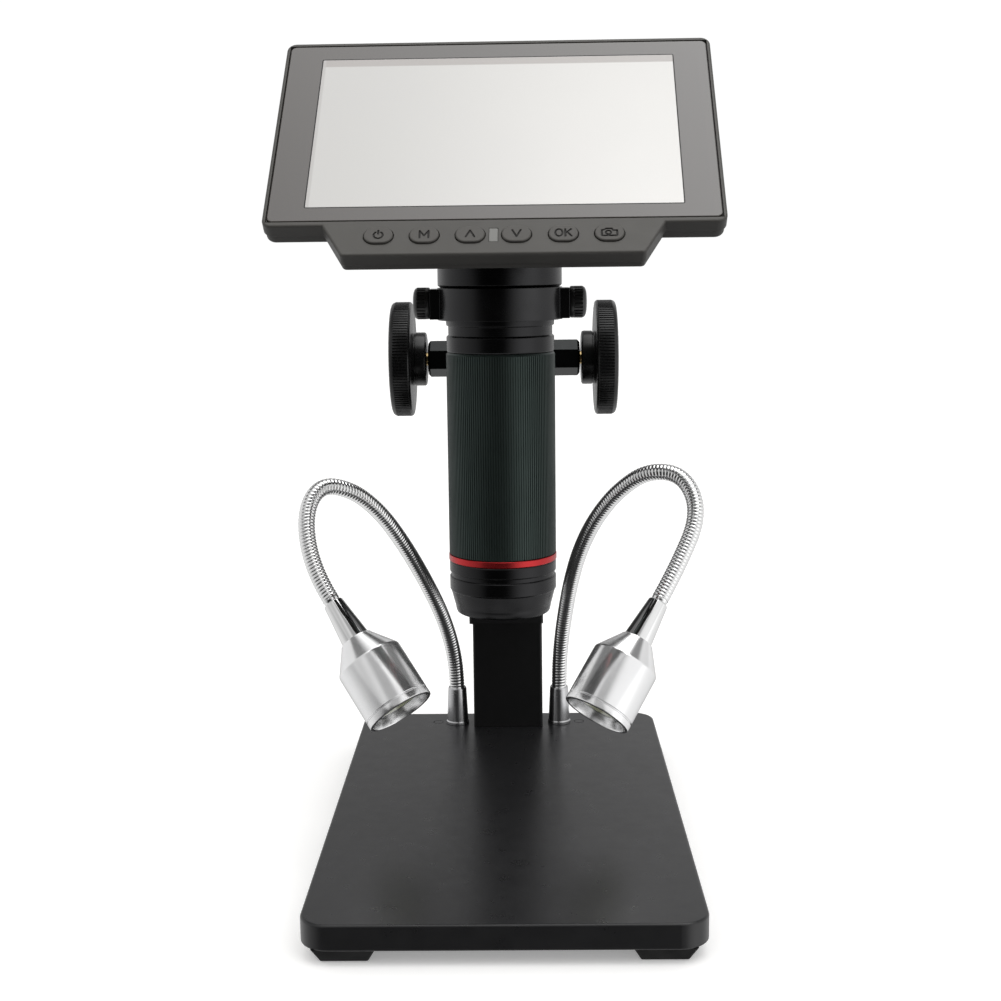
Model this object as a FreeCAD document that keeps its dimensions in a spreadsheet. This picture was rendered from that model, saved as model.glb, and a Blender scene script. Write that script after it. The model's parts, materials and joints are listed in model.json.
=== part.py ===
import FreeCAD, Part
import math
import os
import Sketcher
from FreeCAD import Matrix, Placement, Rotation, Vector

os.makedirs("parts", exist_ok=True)

# A bench microscope with its own screen. Millimetres, +Z up, +Y away from the user.
# Origin: centre of the base, on the plane that the rubber feet stand on.

doc = FreeCAD.newDocument("lcd_microscope")
sheet = doc.addObject("Spreadsheet::Sheet", "dims")


class E:
    """A number that remembers the sheet expression it comes from."""

    def __init__(self, v, t):
        self.v = float(v)
        self.t = t

    @staticmethod
    def of(o):
        return o if isinstance(o, E) else E(o, "%.6g" % o)

    def __add__(self, o):
        o = E.of(o)
        return E(self.v + o.v, "(%s + %s)" % (self.t, o.t))

    def __radd__(self, o):
        return E.of(o) + self

    def __sub__(self, o):
        o = E.of(o)
        return E(self.v - o.v, "(%s - %s)" % (self.t, o.t))

    def __rsub__(self, o):
        return E.of(o) - self

    def __mul__(self, o):
        o = E.of(o)
        return E(self.v * o.v, "(%s * %s)" % (self.t, o.t))

    def __rmul__(self, o):
        return E.of(o) * self

    def __truediv__(self, o):
        o = E.of(o)
        return E(self.v / o.v, "(%s / %s)" % (self.t, o.t))

    def __neg__(self):
        return E(-self.v, "(0 - %s)" % self.t)


def V(o):
    return o.v if isinstance(o, E) else float(o)


rows = [0]


def cell(alias, value):
    rows[0] += 1
    n = rows[0]
    sheet.set("A%d" % n, alias)
    sheet.set("B%d" % n, "%.6g" % value)
    sheet.setAlias("B%d" % n, alias)
    return E(value, "dims.%s" % alias)


# ---- driving dimensions -------------------------------------------------
base_width = cell("base_width", 120)
base_length = cell("base_length", 200)
base_thick = cell("base_thick", 8)
base_corner = cell("base_corner", 9)
foot_height = cell("foot_height", 4.5)
foot_top = cell("foot_top", 19)
foot_bottom = cell("foot_bottom", 14.3)
foot_x = cell("foot_x", 46.8)
foot_y = cell("foot_y", 89.5)
acc_x = cell("plug_x", 29)
acc_y = cell("plug_y", 88)
acc_rad = cell("plug_rad", 2.1)
recess_x = cell("recess_x", 26)
recess_depth = cell("recess_depth", 5)
cover_thick = cell("cover_thick", 1.5)
column_width = cell("column_width", 28)
column_front = cell("column_front", 81)
column_depth = cell("column_depth", 16)
column_height = cell("column_height", 180)
guide_front = cell("guide_front", 63.5)
guide_low = cell("guide_low", 74.5)
guide_len = cell("guide_len", 110)
slide_front = cell("slide_front", 45)
slide_low = cell("slide_low", 64.9)
slide_len = cell("slide_len", 127.6)
slide_gap = cell("slide_gap", 0.06)
pinion_y = cell("pinion_y", 72)
pinion_z = cell("pinion_z", 163.5)
gear_module = cell("gear_module", 0.6)
gear_teeth = cell("gear_teeth", 14)
shaft_rad = cell("shaft_rad", 2.5)
knob_rad = cell("knob_rad", 21.9)
knob_in = cell("knob_inner_x", 34.9)
knob_out = cell("knob_outer_x", 43)
hub_rad = cell("hub_rad", 10.25)
hub_in = cell("hub_inner_x", 29.7)
hex_out = cell("hex_outer_x", 29.1)
hex_flat = cell("hex_across_flats", 12)
axis_y = cell("barrel_axis_y", -28)
ring_low = cell("ring_low", 182.5)
ring_height = cell("ring_height", 10)
ring_rad = cell("ring_rad", 19.75)
ring_bore = cell("ring_bore", 17.25)
boss_x = cell("boss_x", 21.9)
screw_z = cell("thumb_screw_z", 187.7)
neck_rad = cell("neck_rad", 19.6)
tube_rad = cell("tube_rad", 17.17)
tube_bore = cell("tube_bore", 14.5)
sleeve_rad = cell("sleeve_rad", 17.3)
sleeve_low = cell("sleeve_low", 107.4)
sleeve_high = cell("sleeve_high", 172.3)
red_low = cell("red_low", 105.4)
nose_low = cell("nose_low", 88.1)
head_tilt = cell("head_tilt", 45.66)
head_turn = cell("head_turn", -1.18)
head_y = cell("head_y", -48)
head_z = cell("head_z", 239.7)
shell_half = cell("shell_half_width", 66)
shell_top = cell("shell_top", 40.8)
shell_bottom = cell("shell_bottom", 39.9)
front_depth = cell("front_depth", 4)
rim_depth = cell("rim_depth", 7.4)
back_depth = cell("back_depth", 22)
bar_top_half = cell("bar_top_half", 48.5)
bar_low_half = cell("bar_low_half", 42.4)
bar_low = cell("bar_low", 51.6)
glass_half = cell("glass_half", 64.65)
glass_low = cell("glass_low", 38.0)
glass_high = cell("glass_high", 39.0)
glass_thick = cell("glass_thick", 1.1)
button_len = cell("button_len", 8.3)
button_wide = cell("button_wide", 6.1)
button_v = cell("button_v", -44.3)
gooseneck_rad = cell("gooseneck_rad", 3.05)
socket_x = cell("socket_x", 20.9)
socket_y = cell("socket_y", 87.3)
lamp_rad = cell("lamp_rad", 12)
lamp_len = cell("lamp_len", 47.6)
screw_rad = cell("screw_rad", 2.0)
doc.recompute()

base_top = foot_height + base_thick
nodes = {}


# ---- helpers ------------------------------------------------------------
def origin_plane(body, role):
    for f in body.Origin.OriginFeatures:
        if f.Role == role:
            return f
    raise RuntimeError(role)


def body(name):
    b = doc.addObject("PartDesign::Body", name)
    b.Label = name
    nodes[name] = b
    return b


def new_sketch(b, role, offset=0.0):
    s = b.newObject("Sketcher::SketchObject", b.Name + "_sketch")
    s.AttachmentSupport = [(origin_plane(b, role), "")]
    s.MapMode = "FlatFace"
    o = E.of(offset)
    s.AttachmentOffset = Placement(Vector(0, 0, o.v), Rotation())
    if isinstance(offset, E):
        s.setExpression("AttachmentOffset.Base.z", offset.t)
    return s


def fix(s, kind, geo, pos, val):
    v = V(val)
    if abs(v) < 1e-9:
        s.addConstraint(Sketcher.Constraint("PointOnObject", geo, pos, -2 if kind == "DistanceX" else -1))
        return
    i = s.addConstraint(Sketcher.Constraint(kind, -1, 1, geo, pos, v))
    if isinstance(val, E):
        s.setExpression("Constraints[%d]" % i, val.t)


def poly(b, role, pts, offset=0.0):
    """A closed profile whose every corner is dimensioned from the sketch origin."""
    s = new_sketch(b, role, offset)
    n = len(pts)
    for i in range(n):
        p, q = pts[i], pts[(i + 1) % n]
        s.addGeometry(Part.LineSegment(Vector(V(p[0]), V(p[1]), 0), Vector(V(q[0]), V(q[1]), 0)), False)
    for i in range(n):
        s.addConstraint(Sketcher.Constraint("Coincident", i, 2, (i + 1) % n, 1))
    for i in range(n):
        fix(s, "DistanceX", i, 1, pts[i][0])
        fix(s, "DistanceY", i, 1, pts[i][1])
    return s


def circles(b, role, items, offset=0.0):
    """Circles given as (x, y, radius)."""
    s = new_sketch(b, role, offset)
    for i, (x, y, r) in enumerate(items):
        s.addGeometry(Part.Circle(Vector(V(x), V(y), 0), Vector(0, 0, 1), V(r)), False)
        k = s.addConstraint(Sketcher.Constraint("Radius", i, V(r)))
        if isinstance(r, E):
            s.setExpression("Constraints[%d]" % k, r.t)
        if abs(V(x)) < 1e-9 and abs(V(y)) < 1e-9:
            s.addConstraint(Sketcher.Constraint("Coincident", i, 3, -1, 1))
        else:
            fix(s, "DistanceX", i, 3, x)
            fix(s, "DistanceY", i, 3, y)
    return s


def ovals(b, role, items, offset=0.0):
    """Ovals with flat long sides given as (x, y, length, width)."""
    s = new_sketch(b, role, offset)
    g = 0
    for (x, y, ln, w) in items:
        r = V(w) / 2
        h = V(ln) / 2 - r
        x, y = V(x), V(y)
        s.addGeometry(Part.LineSegment(Vector(x - h, y + r, 0), Vector(x + h, y + r, 0)), False)
        s.addGeometry(Part.ArcOfCircle(Part.Circle(Vector(x + h, y, 0), Vector(0, 0, 1), r), -math.pi / 2, math.pi / 2), False)
        s.addGeometry(Part.LineSegment(Vector(x + h, y - r, 0), Vector(x - h, y - r, 0)), False)
        s.addGeometry(Part.ArcOfCircle(Part.Circle(Vector(x - h, y, 0), Vector(0, 0, 1), r), math.pi / 2, 3 * math.pi / 2), False)
        s.addConstraint(Sketcher.Constraint("Tangent", g, 2, g + 1, 2))
        s.addConstraint(Sketcher.Constraint("Tangent", g + 1, 1, g + 2, 1))
        s.addConstraint(Sketcher.Constraint("Tangent", g + 2, 2, g + 3, 2))
        s.addConstraint(Sketcher.Constraint("Tangent", g + 3, 1, g, 1))
        g += 4
    return s


def pad(b, s, length, back=False, mid=False):
    f = b.newObject("PartDesign::Pad", b.Name + "_pad")
    f.Profile = s
    f.Length = V(length)
    if isinstance(length, E):
        f.setExpression("Length", length.t)
    f.Reversed = back
    f.Midplane = mid
    doc.recompute()
    return f


def pocket(b, s, length, back=False, mid=False, through=False):
    before = b.Shape.Volume
    f = b.newObject("PartDesign::Pocket", b.Name + "_pocket")
    f.Profile = s
    if through:
        f.Type = "ThroughAll"
    else:
        f.Length = V(length)
        if isinstance(length, E):
            f.setExpression("Length", length.t)
    f.Reversed = back
    f.Midplane = mid
    doc.recompute()
    if not b.Shape.Volume < before - 1e-3:
        raise RuntimeError("pocket cuts nothing in " + b.Label)
    return f


def turn(b, s):
    f = b.newObject("PartDesign::Revolution", b.Name + "_turned")
    f.Profile = s
    f.ReferenceAxis = (s, ["V_Axis"])
    f.Angle = 360
    doc.recompute()
    return f


def edges(shape, want):
    return ["Edge%d" % (i + 1) for i, e in enumerate(shape.Edges) if want(e)]


def fillet(b, want, size, kind="Fillet"):
    base = b.Tip
    names = edges(base.Shape, want)
    if not names:
        raise RuntimeError("no edges to round on " + b.Label)
    f = b.newObject("PartDesign::" + kind, b.Name + "_edge")
    f.Base = (base, names)
    if kind == "Fillet":
        f.Radius = V(size)
        if isinstance(size, E):
            f.setExpression("Radius", size.t)
    else:
        f.Size = V(size)
    doc.recompute()
    return f


def zs(e):
    return [v.Point.z for v in e.Vertexes]


def level(e, z, tol=1e-3):
    return all(abs(v.Point.z - z) < tol for v in e.Vertexes) and abs(e.CenterOfMass.z - z) < tol


def upright(e):
    return len(e.Vertexes) == 2 and abs(e.Vertexes[0].Point.x - e.Vertexes[1].Point.x) < 1e-6 and \
        abs(e.Vertexes[0].Point.y - e.Vertexes[1].Point.y) < 1e-6 and abs(zs(e)[0] - zs(e)[1]) > 1e-3


def rect(x0, y0, x1, y1):
    return [(x0, y0), (x1, y0), (x1, y1), (x0, y1)]


def place(obj, pl, exprs=()):
    obj.Placement = pl
    for path, ex in exprs:
        obj.setExpression(path, ex.t)
    doc.recompute()


def fixed(name, shape):
    """A sub-part set from its shape, sizes read from the sheet above."""
    f = doc.addObject("Part::Feature", name)
    f.Label = name
    f.Shape = shape
    nodes[name] = f
    return f


# frame of the screen head: x along its width, y up its face, z out of the glass
turn_pl = Placement(Vector(0, axis_y.v, 0), Rotation(Vector(0, 0, 1), head_turn.v))
lean_pl = Placement(Vector(0, head_y.v - axis_y.v, head_z.v), Rotation(Vector(1, 0, 0), head_tilt.v))
head_pl = turn_pl.multiply(lean_pl)
neck_pl = turn_pl


def on_head(b):
    place(b, head_pl)


def on_neck(b):
    place(b, neck_pl)


# ---- base ---------------------------------------------------------------
b = body("base_plate")
hw, hl = base_width / 2, base_length / 2
pad(b, poly(b, "XY_Plane", rect(-hw, -hl, hw, hl), foot_height), base_thick)
fillet(b, upright, base_corner)
fillet(b, lambda e: level(e, base_top.v), 0.8)
fillet(b, lambda e: level(e, foot_height.v), 0.4)
pocket(b, poly(b, "XY_Plane", rect(-recess_x, 62, recess_x, 95), foot_height), recess_depth, back=True)
pocket(b, poly(b, "XY_Plane", rect(-33, 58, 33, 98), foot_height), cover_thick, back=True)
pocket(b, circles(b, "XY_Plane", [(-socket_x, socket_y, 3.05), (socket_x, socket_y, 3.05),
                                  (-8.5, 89, 2.1), (8.5, 89, 2.1)], 0),
       30, back=True)
pocket(b, circles(b, "XY_Plane", [(-29.5, 61, 1.1), (29.5, 61, 1.1), (-29.5, 95, 1.1), (29.5, 95, 1.1)], foot_height), 6, back=True)
pocket(b, poly(b, "XZ_Plane", rect(-4.0, 6.35, 4.0, 9.45), -94.5), 8)
# flush pressed plugs beside the sockets: only a fine ring shows round each
pocket(b, circles(b, "XY_Plane", [(-acc_x, acc_y, acc_rad), (-acc_x, acc_y, acc_rad - 0.28), (acc_x, acc_y, acc_rad), (acc_x, acc_y, acc_rad - 0.28)], base_top), 0.6)

b = body("base_cover")
pad(b, poly(b, "XY_Plane", rect(-32.9, 58.1, 32.9, 97.9), foot_height), cover_thick - 0.02)
pocket(b, circles(b, "XY_Plane", [(-29.5, 61, 1.35), (29.5, 61, 1.35), (-29.5, 95, 1.35), (29.5, 95, 1.35)], 0),
       30, back=True)
fillet(b, upright, 1.0)

feet = []
for sx in (-1, 1):
    for sy in (-1, 1):
        cx, cy = sx * foot_x.v, sy * foot_y.v
        a, c = foot_bottom.v / 2, foot_top.v / 2
        lo = Part.makePolygon([Vector(cx - a, cy - a, 0), Vector(cx + a, cy - a, 0), Vector(cx + a, cy + a, 0), Vector(cx - a, cy + a, 0), Vector(cx - a, cy - a, 0)])
        hi = Part.makePolygon([Vector(cx - c, cy - c, foot_height.v), Vector(cx + c, cy - c, foot_height.v), Vector(cx + c, cy + c, foot_height.v), Vector(cx - c, cy + c, foot_height.v), Vector(cx - c, cy - c, foot_height.v)])
        sol = Part.makeLoft([lo, hi], True, True)
        feet.append(sol.makeFillet(0.8, [e for e in sol.Edges if abs(e.Vertexes[0].Point.z - e.Vertexes[1].Point.z) > 1]))
fixed("rubber_feet", Part.makeCompound(feet))


def pan_screw(r, length, head_r, head_h, pos, direction):
    """A pan-head screw: pos is under the head, direction points to the tip."""
    d = Vector(*direction)
    p = Vector(*pos)
    h = Part.makeCylinder(head_r, head_h, p - d * head_h, d)
    rim = [e for e in h.Edges if e.Closed and (e.CenterOfMass - (p - d * head_h)).Length < 1e-3]
    h = h.makeFillet(head_h * 0.35, rim)
    s = h.fuse(Part.makeCylinder(r, length, p, d)).removeSplitter()
    slot = Part.makeBox(head_r * 1.1, r * 0.5, head_h * 0.5, Vector(-head_r * 0.55, -r * 0.25, 0))
    cross = slot.fuse(Part.makeBox(r * 0.5, head_r * 1.1, head_h * 0.5, Vector(-r * 0.25, -head_r * 0.55, 0)))
    cross.Placement = Placement(p - d * head_h, Rotation(Vector(0, 0, 1), d))
    return s.cut(cross)


def socket_screw(r, length, pos, direction):
    """A socket-head cap screw with a hexagon socket."""
    d = Vector(*direction)
    p = Vector(*pos)
    s = Part.makeCylinder(r * 1.7, r * 1.9, p - d * (r * 1.9), d).fuse(Part.makeCylinder(r - 0.03, length, p, d)).removeSplitter()
    hexa = Part.makePolygon([Vector(r * 0.85 * math.cos(k * math.pi / 3), r * 0.85 * math.sin(k * math.pi / 3), 0) for k in range(7)])
    hole = Part.Face(hexa).extrude(Vector(0, 0, r))
    hole.Placement = Placement(p - d * (r * 1.9), Rotation(Vector(0, 0, 1), d))
    return s.cut(hole)


z0 = foot_height.v
csk = []
for (x, y) in ((-29.5, 61), (29.5, 61), (-29.5, 95), (29.5, 95)):
    csk.append(pan_screw(1.07, 5, 2.0, 0.9, (x, y, z0), (0, 0, 1)))
fixed("cover_screws", Part.makeCompound(csk))

b = body("power_inlet")
pad(b, poly(b, "XZ_Plane", rect(-3.9, 6.45, 3.9, 9.35), -100), 5.6)
pocket(b, poly(b, "XZ_Plane", rect(-3.5, 6.85, 3.5, 8.95), -100), 4.6, back=True)
pad(b, poly(b, "XZ_Plane", rect(-2.6, 7.7, 2.6, 8.2), -99), 4.6)

b = body("lamp_driver_board")
pad(b, poly(b, "XY_Plane", [(-18, 64), (18, 64), (18, 82), (4.4, 82), (4.4, 94), (-4.4, 94), (-4.4, 82), (-18, 82)], 8.0), 1.2)
pad(b, poly(b, "XY_Plane", rect(-14, 67, -8, 73), 8.0), 1.2, back=True)
pad(b, poly(b, "XY_Plane", rect(2, 68, 6, 76), 8.0), 1.0, back=True)

# ---- column and guide ---------------------------------------------------
b = body("column")
cw = column_width / 2
col_back = column_front + column_depth
pad(b, poly(b, "XY_Plane", rect(-cw, column_front, cw, col_back), base_top), column_height)
fillet(b, upright, 1.0)
fillet(b, lambda e: level(e, base_top.v + column_height.v), 0.6)
pocket(b, circles(b, "XY_Plane", [(-8.5, 89, screw_rad), (8.5, 89, screw_rad)], base_top), 16, back=True)
pocket(b, circles(b, "XZ_Plane", [(-8, 92, 2.1), (8, 92, 2.1), (-8, 140, 2.1), (8, 140, 2.1)], 0), 200, mid=True)

b = body("guide_block")
g = slide_gap
pad(b, poly(b, "XY_Plane", [(-cw, guide_front), (-8.56, guide_front), (-10.56, guide_front + 7.1), (10.56, guide_front + 7.1),
                            (8.56, guide_front), (cw, guide_front), (cw, column_front), (-cw, column_front)], guide_low), guide_len)
fillet(b, lambda e: upright(e) and abs(abs(e.Vertexes[0].Point.x) - 14) < 1e-6 and abs(e.Vertexes[0].Point.y - 63.5) < 1e-6, 0.8)
pocket(b, circles(b, "YZ_Plane", [(pinion_y, pinion_z, 5.0)]), 60, mid=True)
pocket(b, circles(b, "XZ_Plane", [(-8, 92, screw_rad), (8, 92, screw_rad), (-8, 140, screw_rad), (8, 140, screw_rad)], -81.5), 8.0, back=True)

fs = [pan_screw(screw_rad.v - 0.03, 15, 3.4, 2.2, (sx * 8.5, 89, 9.5), (0, 0, 1)) for sx in (-1, 1)]
fs += [pan_screw(screw_rad.v - 0.03, 22, 3.4, 2.2, (x, 97, z), (0, -1, 0)) for x in (-8, 8) for z in (92, 140)]
fixed("frame_screws", Part.makeCompound(fs))

# ---- hexagon bearings of the focus shaft --------------------------------
for side, sgn in (("left", -1), ("right", 1)):
    b = body(side + "_shaft_bearing")
    rr = hex_flat / math.sqrt(3)
    hexpts = []
    for k in range(6):
        a = math.pi / 6 + k * math.pi / 3
        # corners at top and bottom, flats towards the front and back
        hexpts.append((round(math.cos(a), 9) * rr, round(math.sin(a), 9) * rr))
    off = E.of(14.0) if sgn > 0 else -hex_out
    pad(b, poly(b, "YZ_Plane", hexpts, off), hex_out - 14.0)
    fillet(b, lambda e, s=sgn: abs(e.CenterOfMass.x - s * hex_out.v) < 1e-3, 0.9, "Chamfer")
    pad(b, circles(b, "YZ_Plane", [(0, 0, 4.97)], 10.7 if sgn > 0 else -14.0), 3.3)
    pocket(b, circles(b, "YZ_Plane", [(0, 0, shaft_rad + 0.05)]), 80, mid=True)
    place(b, Placement(Vector(0, pinion_y.v, pinion_z.v), Rotation()))
    b.setExpression("Placement.Base.y", pinion_y.t)
    b.setExpression("Placement.Base.z", pinion_z.t)

# ---- lamp sockets -------------------------------------------------------
for side, sgn in (("left", -1), ("right", 1)):
    b = body(side + "_lamp_socket")
    turn(b, poly(b, "XZ_Plane", [(0, 8.9), (3.0, 8.9), (3.0, base_top), (4.65, base_top), (4.65, base_top + 1.2), (4.35, base_top + 1.6),
                                 (3.7, 27.5), (3.5, 27.9), (0, 27.9)]))
    pocket(b, circles(b, "XY_Plane", [(0, 0, gooseneck_rad + 0.06)], 27.9), 8.0)
    pocket(b, circles(b, "XY_Plane", [(0, 0, 1.5)], 27.9), 30)
    place(b, Placement(Vector(sgn * socket_x.v, socket_y.v, 0), Rotation()))

# ---- focus shaft, pinion and knobs --------------------------------------
mod, nt = gear_module.v, int(gear_teeth.v)
pr = mod * nt / 2
tip = pr + mod
root = pr - 1.2 * mod
press = math.radians(20)
rb = pr * math.cos(press)
backlash = 0.10


def inv(a):
    return math.tan(a) - a


half_thick = (math.pi * mod / 2 - backlash) / 2 / pr
flank = []
for k in range(6):
    r = max(rb, root) + (tip - max(rb, root)) * k / 5.0
    al = math.acos(min(1.0, rb / r))
    flank.append((r, half_thick + inv(press) - inv(al)))
# one tooth gap, centred on the direction of -Y, which meets a tooth of the rack
gap = []
half_pitch = math.pi / nt
right = [(root, half_pitch - flank[0][1] - 0.02)] + [(r, half_pitch - h) for (r, h) in flank] + [(tip + 0.4, half_pitch - flank[-1][1] + 0.02)]
for (r, h) in right:
    gap.append((-r * math.cos(h), r * math.sin(h)))
for (r, h) in reversed(right):
    gap.append((-r * math.cos(h), -r * math.sin(h)))

b = body("pinion_shaft")
pad(b, circles(b, "YZ_Plane", [(0, 0, gear_module * (gear_teeth / 2 + 1))]), 6, mid=True)
s = poly(b, "YZ_Plane", gap)
pk = pocket(b, s, 20, mid=True)
pat = b.newObject("PartDesign::PolarPattern", "pinion_teeth")
pat.Originals = [pk]
pat.Axis = (origin_plane(b, "X_Axis"), [""])
pat.Angle = 360
pat.Occurrences = nt
pat.setExpression("Occurrences", gear_teeth.t)
b.Tip = pat
doc.recompute()
pad(b, circles(b, "YZ_Plane", [(0, 0, shaft_rad)]), 81, mid=True)
place(b, Placement(Vector(0, pinion_y.v, pinion_z.v), Rotation()))
b.setExpression("Placement.Base.y", pinion_y.t)
b.setExpression("Placement.Base.z", pinion_z.t)

for side, sgn in (("left", -1), ("right", 1)):
    b = body(side + "_focus_knob")
    # turned about the local Z axis, then laid along X
    turn(b, poly(b, "XZ_Plane", [(0, hub_in), (hub_rad - 0.7, hub_in), (hub_rad, hub_in + 0.6), (hub_rad, hub_in + 4.0), (hub_rad - 0.4, hub_in + 4.15), (hub_rad - 0.4, hub_in + 4.65),
                                 (hub_rad, hub_in + 4.8), (hub_rad, knob_in), (knob_rad - 1.2, knob_in), (knob_rad, knob_in + 0.9), (knob_rad, knob_out - 1.6),
                                 (knob_rad - 0.5, knob_out - 0.5), (knob_rad - 1.7, knob_out), (17.5, knob_out), (16.6, knob_out - 1.4), (6.4, knob_out - 1.4), (5.8, knob_out - 0.6), (0, knob_out - 0.6)]))
    pocket(b, circles(b, "XY_Plane", [(0, 0, shaft_rad + 0.01)], 40.55), 30)
    place(b, Placement(Vector(0, pinion_y.v, pinion_z.v), Rotation(Vector(0, 1, 0), 90 * sgn)))
# ---- slide, rack, ring --------------------------------------------------
b = body("slide_bar")


def male(y):
    return 8.56 - slide_gap.v + (y - 63.5) * (2.0 / 7.1)


pad(b, poly(b, "XY_Plane", [(-cw, slide_front), (cw, slide_front), (cw, 63.1), (male(63.1), 63.1), (male(69.2), 69.2), (4.3, 69.2), (4.3, 63.1),
                            (-4.3, 63.1), (-4.3, 69.2), (-male(69.2), 69.2), (-male(63.1), 63.1), (-cw, 63.1)], slide_low), slide_len)
fillet(b, lambda e: upright(e) and abs(abs(e.Vertexes[0].Point.x) - 14) < 1e-6, 0.8)
pocket(b, circles(b, "XZ_Plane", [(-8.5, 174.5, screw_rad), (8.5, 174.5, screw_rad)], -44.5), 12)

b = body("focus_rack")
pitch = gear_module * math.pi
rack_pitch_y = pinion_y.v - pr
ry1 = rack_pitch_y + 0.45
ry0 = rack_pitch_y - 0.75
top_half = (math.pi * mod / 2) / 2 - 0.45 * math.tan(press) - 0.02
bot_half = (math.pi * mod / 2) / 2 + 0.75 * math.tan(press) - 0.02
pad(b, poly(b, "YZ_Plane", rect(63.1, 94.0, ry1, 192.4)), 6.5, mid=True)
# a gap between two teeth: wide at the tips, narrow at the roots
gw_top = pitch.v / 2 - top_half
gw_bot = pitch.v / 2 - bot_half
zc = pinion_z.v + pitch.v * 14.5
pk = pocket(b, poly(b, "YZ_Plane", [(ry0, zc - gw_bot), (ry1 + 0.3, zc - gw_top - 0.3 * math.tan(press)), (ry1 + 0.3, zc + gw_top + 0.3 * math.tan(press)), (ry0, zc + gw_bot)]), 20, mid=True)
pat = b.newObject("PartDesign::LinearPattern", "rack_teeth")
pat.Originals = [pk]
pat.Direction = (origin_plane(b, "Z_Axis"), [""])
pat.Reversed = True
count = 50
pat.Length = pitch.v * (count - 1)
pat.Occurrences = count
b.Tip = pat
doc.recompute()

b = body("clamp_ring")
pad(b, circles(b, "XY_Plane", [(0, axis_y, ring_rad)], ring_low), ring_height)
pad(b, poly(b, "XY_Plane", rect(-boss_x, axis_y - 6.2, boss_x, axis_y + 6.2), ring_low + 0.3), ring_height - 0.6)
pad(b, poly(b, "XY_Plane", rect(-12, axis_y + 5, 12, 40), ring_low), ring_height)
pad(b, poly(b, "XY_Plane", rect(-cw, 38.5, cw, slide_front), 167.5), 25.0)
pad(b, poly(b, "YZ_Plane", [(39, 168.2), (39, 183), (6, 183)]), 7, mid=True)
pocket(b, circles(b, "XY_Plane", [(0, axis_y, ring_bore)], ring_low - 1), 20, back=True)
pocket(b, circles(b, "YZ_Plane", [(axis_y, screw_z, 2.0)]), 80, mid=True)
pocket(b, circles(b, "XZ_Plane", [(-8.5, 174.5, 2.15), (8.5, 174.5, 2.15)], -30), 30)

fixed("arm_screws", Part.makeCompound([socket_screw(2.0, 12.5, (sx * 8.5, 38.5, 174.5), (0, 1, 0)) for sx in (-1, 1)]))

# ---- thumb screws -------------------------------------------------------
for side, sgn in (("left", -1), ("right", 1)):
    b = body(side + "_clamp_tip")
    turn(b, poly(b, "XZ_Plane", [(0, tube_rad + 0.04), (1.2, tube_rad + 0.04), (1.5, tube_rad + 0.35), (1.5, 18.3), (0, 18.3)]))
    place(b, Placement(Vector(0, axis_y.v, screw_z.v), Rotation(Vector(0, 1, 0), 90 * sgn)))
    b = body(side + "_thumb_screw")
    turn(b, poly(b, "XZ_Plane", [(0, 18.35), (1.95, 18.35), (1.95, boss_x + 0.15), (4.75, boss_x + 0.15), (5.0, boss_x + 0.4), (5.0, 26.0), (4.6, 26.7), (3.7, 27.2), (2.2, 27.4), (0, 27.4)]))
    place(b, Placement(Vector(0, axis_y.v, screw_z.v), Rotation(Vector(0, 1, 0), 90 * sgn)))

# ---- optical barrel (all on the swivel axis) ----------------------------
ring_top = ring_low + ring_height
b = body("neck_collar")
turn(b, poly(b, "XZ_Plane", [(14.06, ring_top + 0.06), (neck_rad - 0.8, ring_top + 0.06), (neck_rad, ring_top + 0.86), (neck_rad, 262), (17.4, 262), (17.4, 206.2), (14.06, 206.2)]))
on_neck(b)
# everything above the back of the head housing is cut away
tl = math.radians(head_tilt.v)
hy = head_y.v - axis_y.v


def back_line(y, depth):
    """Height of the plane that lies depth behind the glass, above local y."""
    return head_z.v + ((y - hy) * math.sin(tl) - depth) / math.cos(tl)


pocket(b, poly(b, "YZ_Plane", [(-25, back_line(-25, 22.05)), (25, back_line(25, 22.05)), (25, 300), (-25, 300)]), 60, mid=True)

b = body("barrel_tube")
turn(b, poly(b, "XZ_Plane", [(tube_bore, 98.5), (15.4, 98.5), (15.4, red_low), (16.0, red_low), (16.0, sleeve_high + 0.1), (16.6, sleeve_high + 0.1), (17.1, sleeve_high + 0.5),
                             (17.1, 177.4), (16.5, 177.7), (16.5, 180.5), (17.05, 180.8), (tube_rad, 182.2), (tube_rad, ring_top), (14.0, ring_top), (14.0, 205.0), (12.5, 205.0), (12.5, 169.5), (tube_bore, 169.5)]))
on_neck(b)
pocket(b, poly(b, "YZ_Plane", rect(-1.1, 124.0, 1.1, 146.0)), 40, back=True)

b = body("objective_housing")
turn(b, poly(b, "XZ_Plane", [(9.6, nose_low), (15.0, nose_low), (15.3, nose_low + 0.4), (15.6, 90.6), (16.9, 95.6), (17.25, 95.9), (17.25, 100.0), (16.8, 100.25), (16.8, 101.6), (17.25, 101.85), (17.25, red_low - 0.12),
                             (15.45, red_low - 0.12), (15.45, 98.3), (13.4, 98.3), (13.4, 92.4), (12.0, 92.4), (12.0, 89.4), (9.6, 89.4)]))
on_neck(b)

b = body("front_glass")
pad(b, circles(b, "XY_Plane", [(0, 0, 11.95)], 89.45), 1.6)
on_neck(b)

b = body("sensor_board")
pad(b, circles(b, "XY_Plane", [(0, 0, 17.0)], 206.4), 1.6)
pad(b, poly(b, "XY_Plane", rect(-5, -4, 5, 4), 205.4), 1.1)
on_neck(b)

b = body("focus_sleeve")
turn(b, poly(b, "XZ_Plane", [(16.06, sleeve_low), (17.0, sleeve_low), (sleeve_rad, sleeve_low + 0.3), (sleeve_rad, sleeve_high - 0.5), (16.8, sleeve_high), (16.06, sleeve_high),
                             (16.06, 147.0), (16.75, 147.0), (16.75, 123.0), (16.06, 123.0)]))
on_neck(b)

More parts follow.
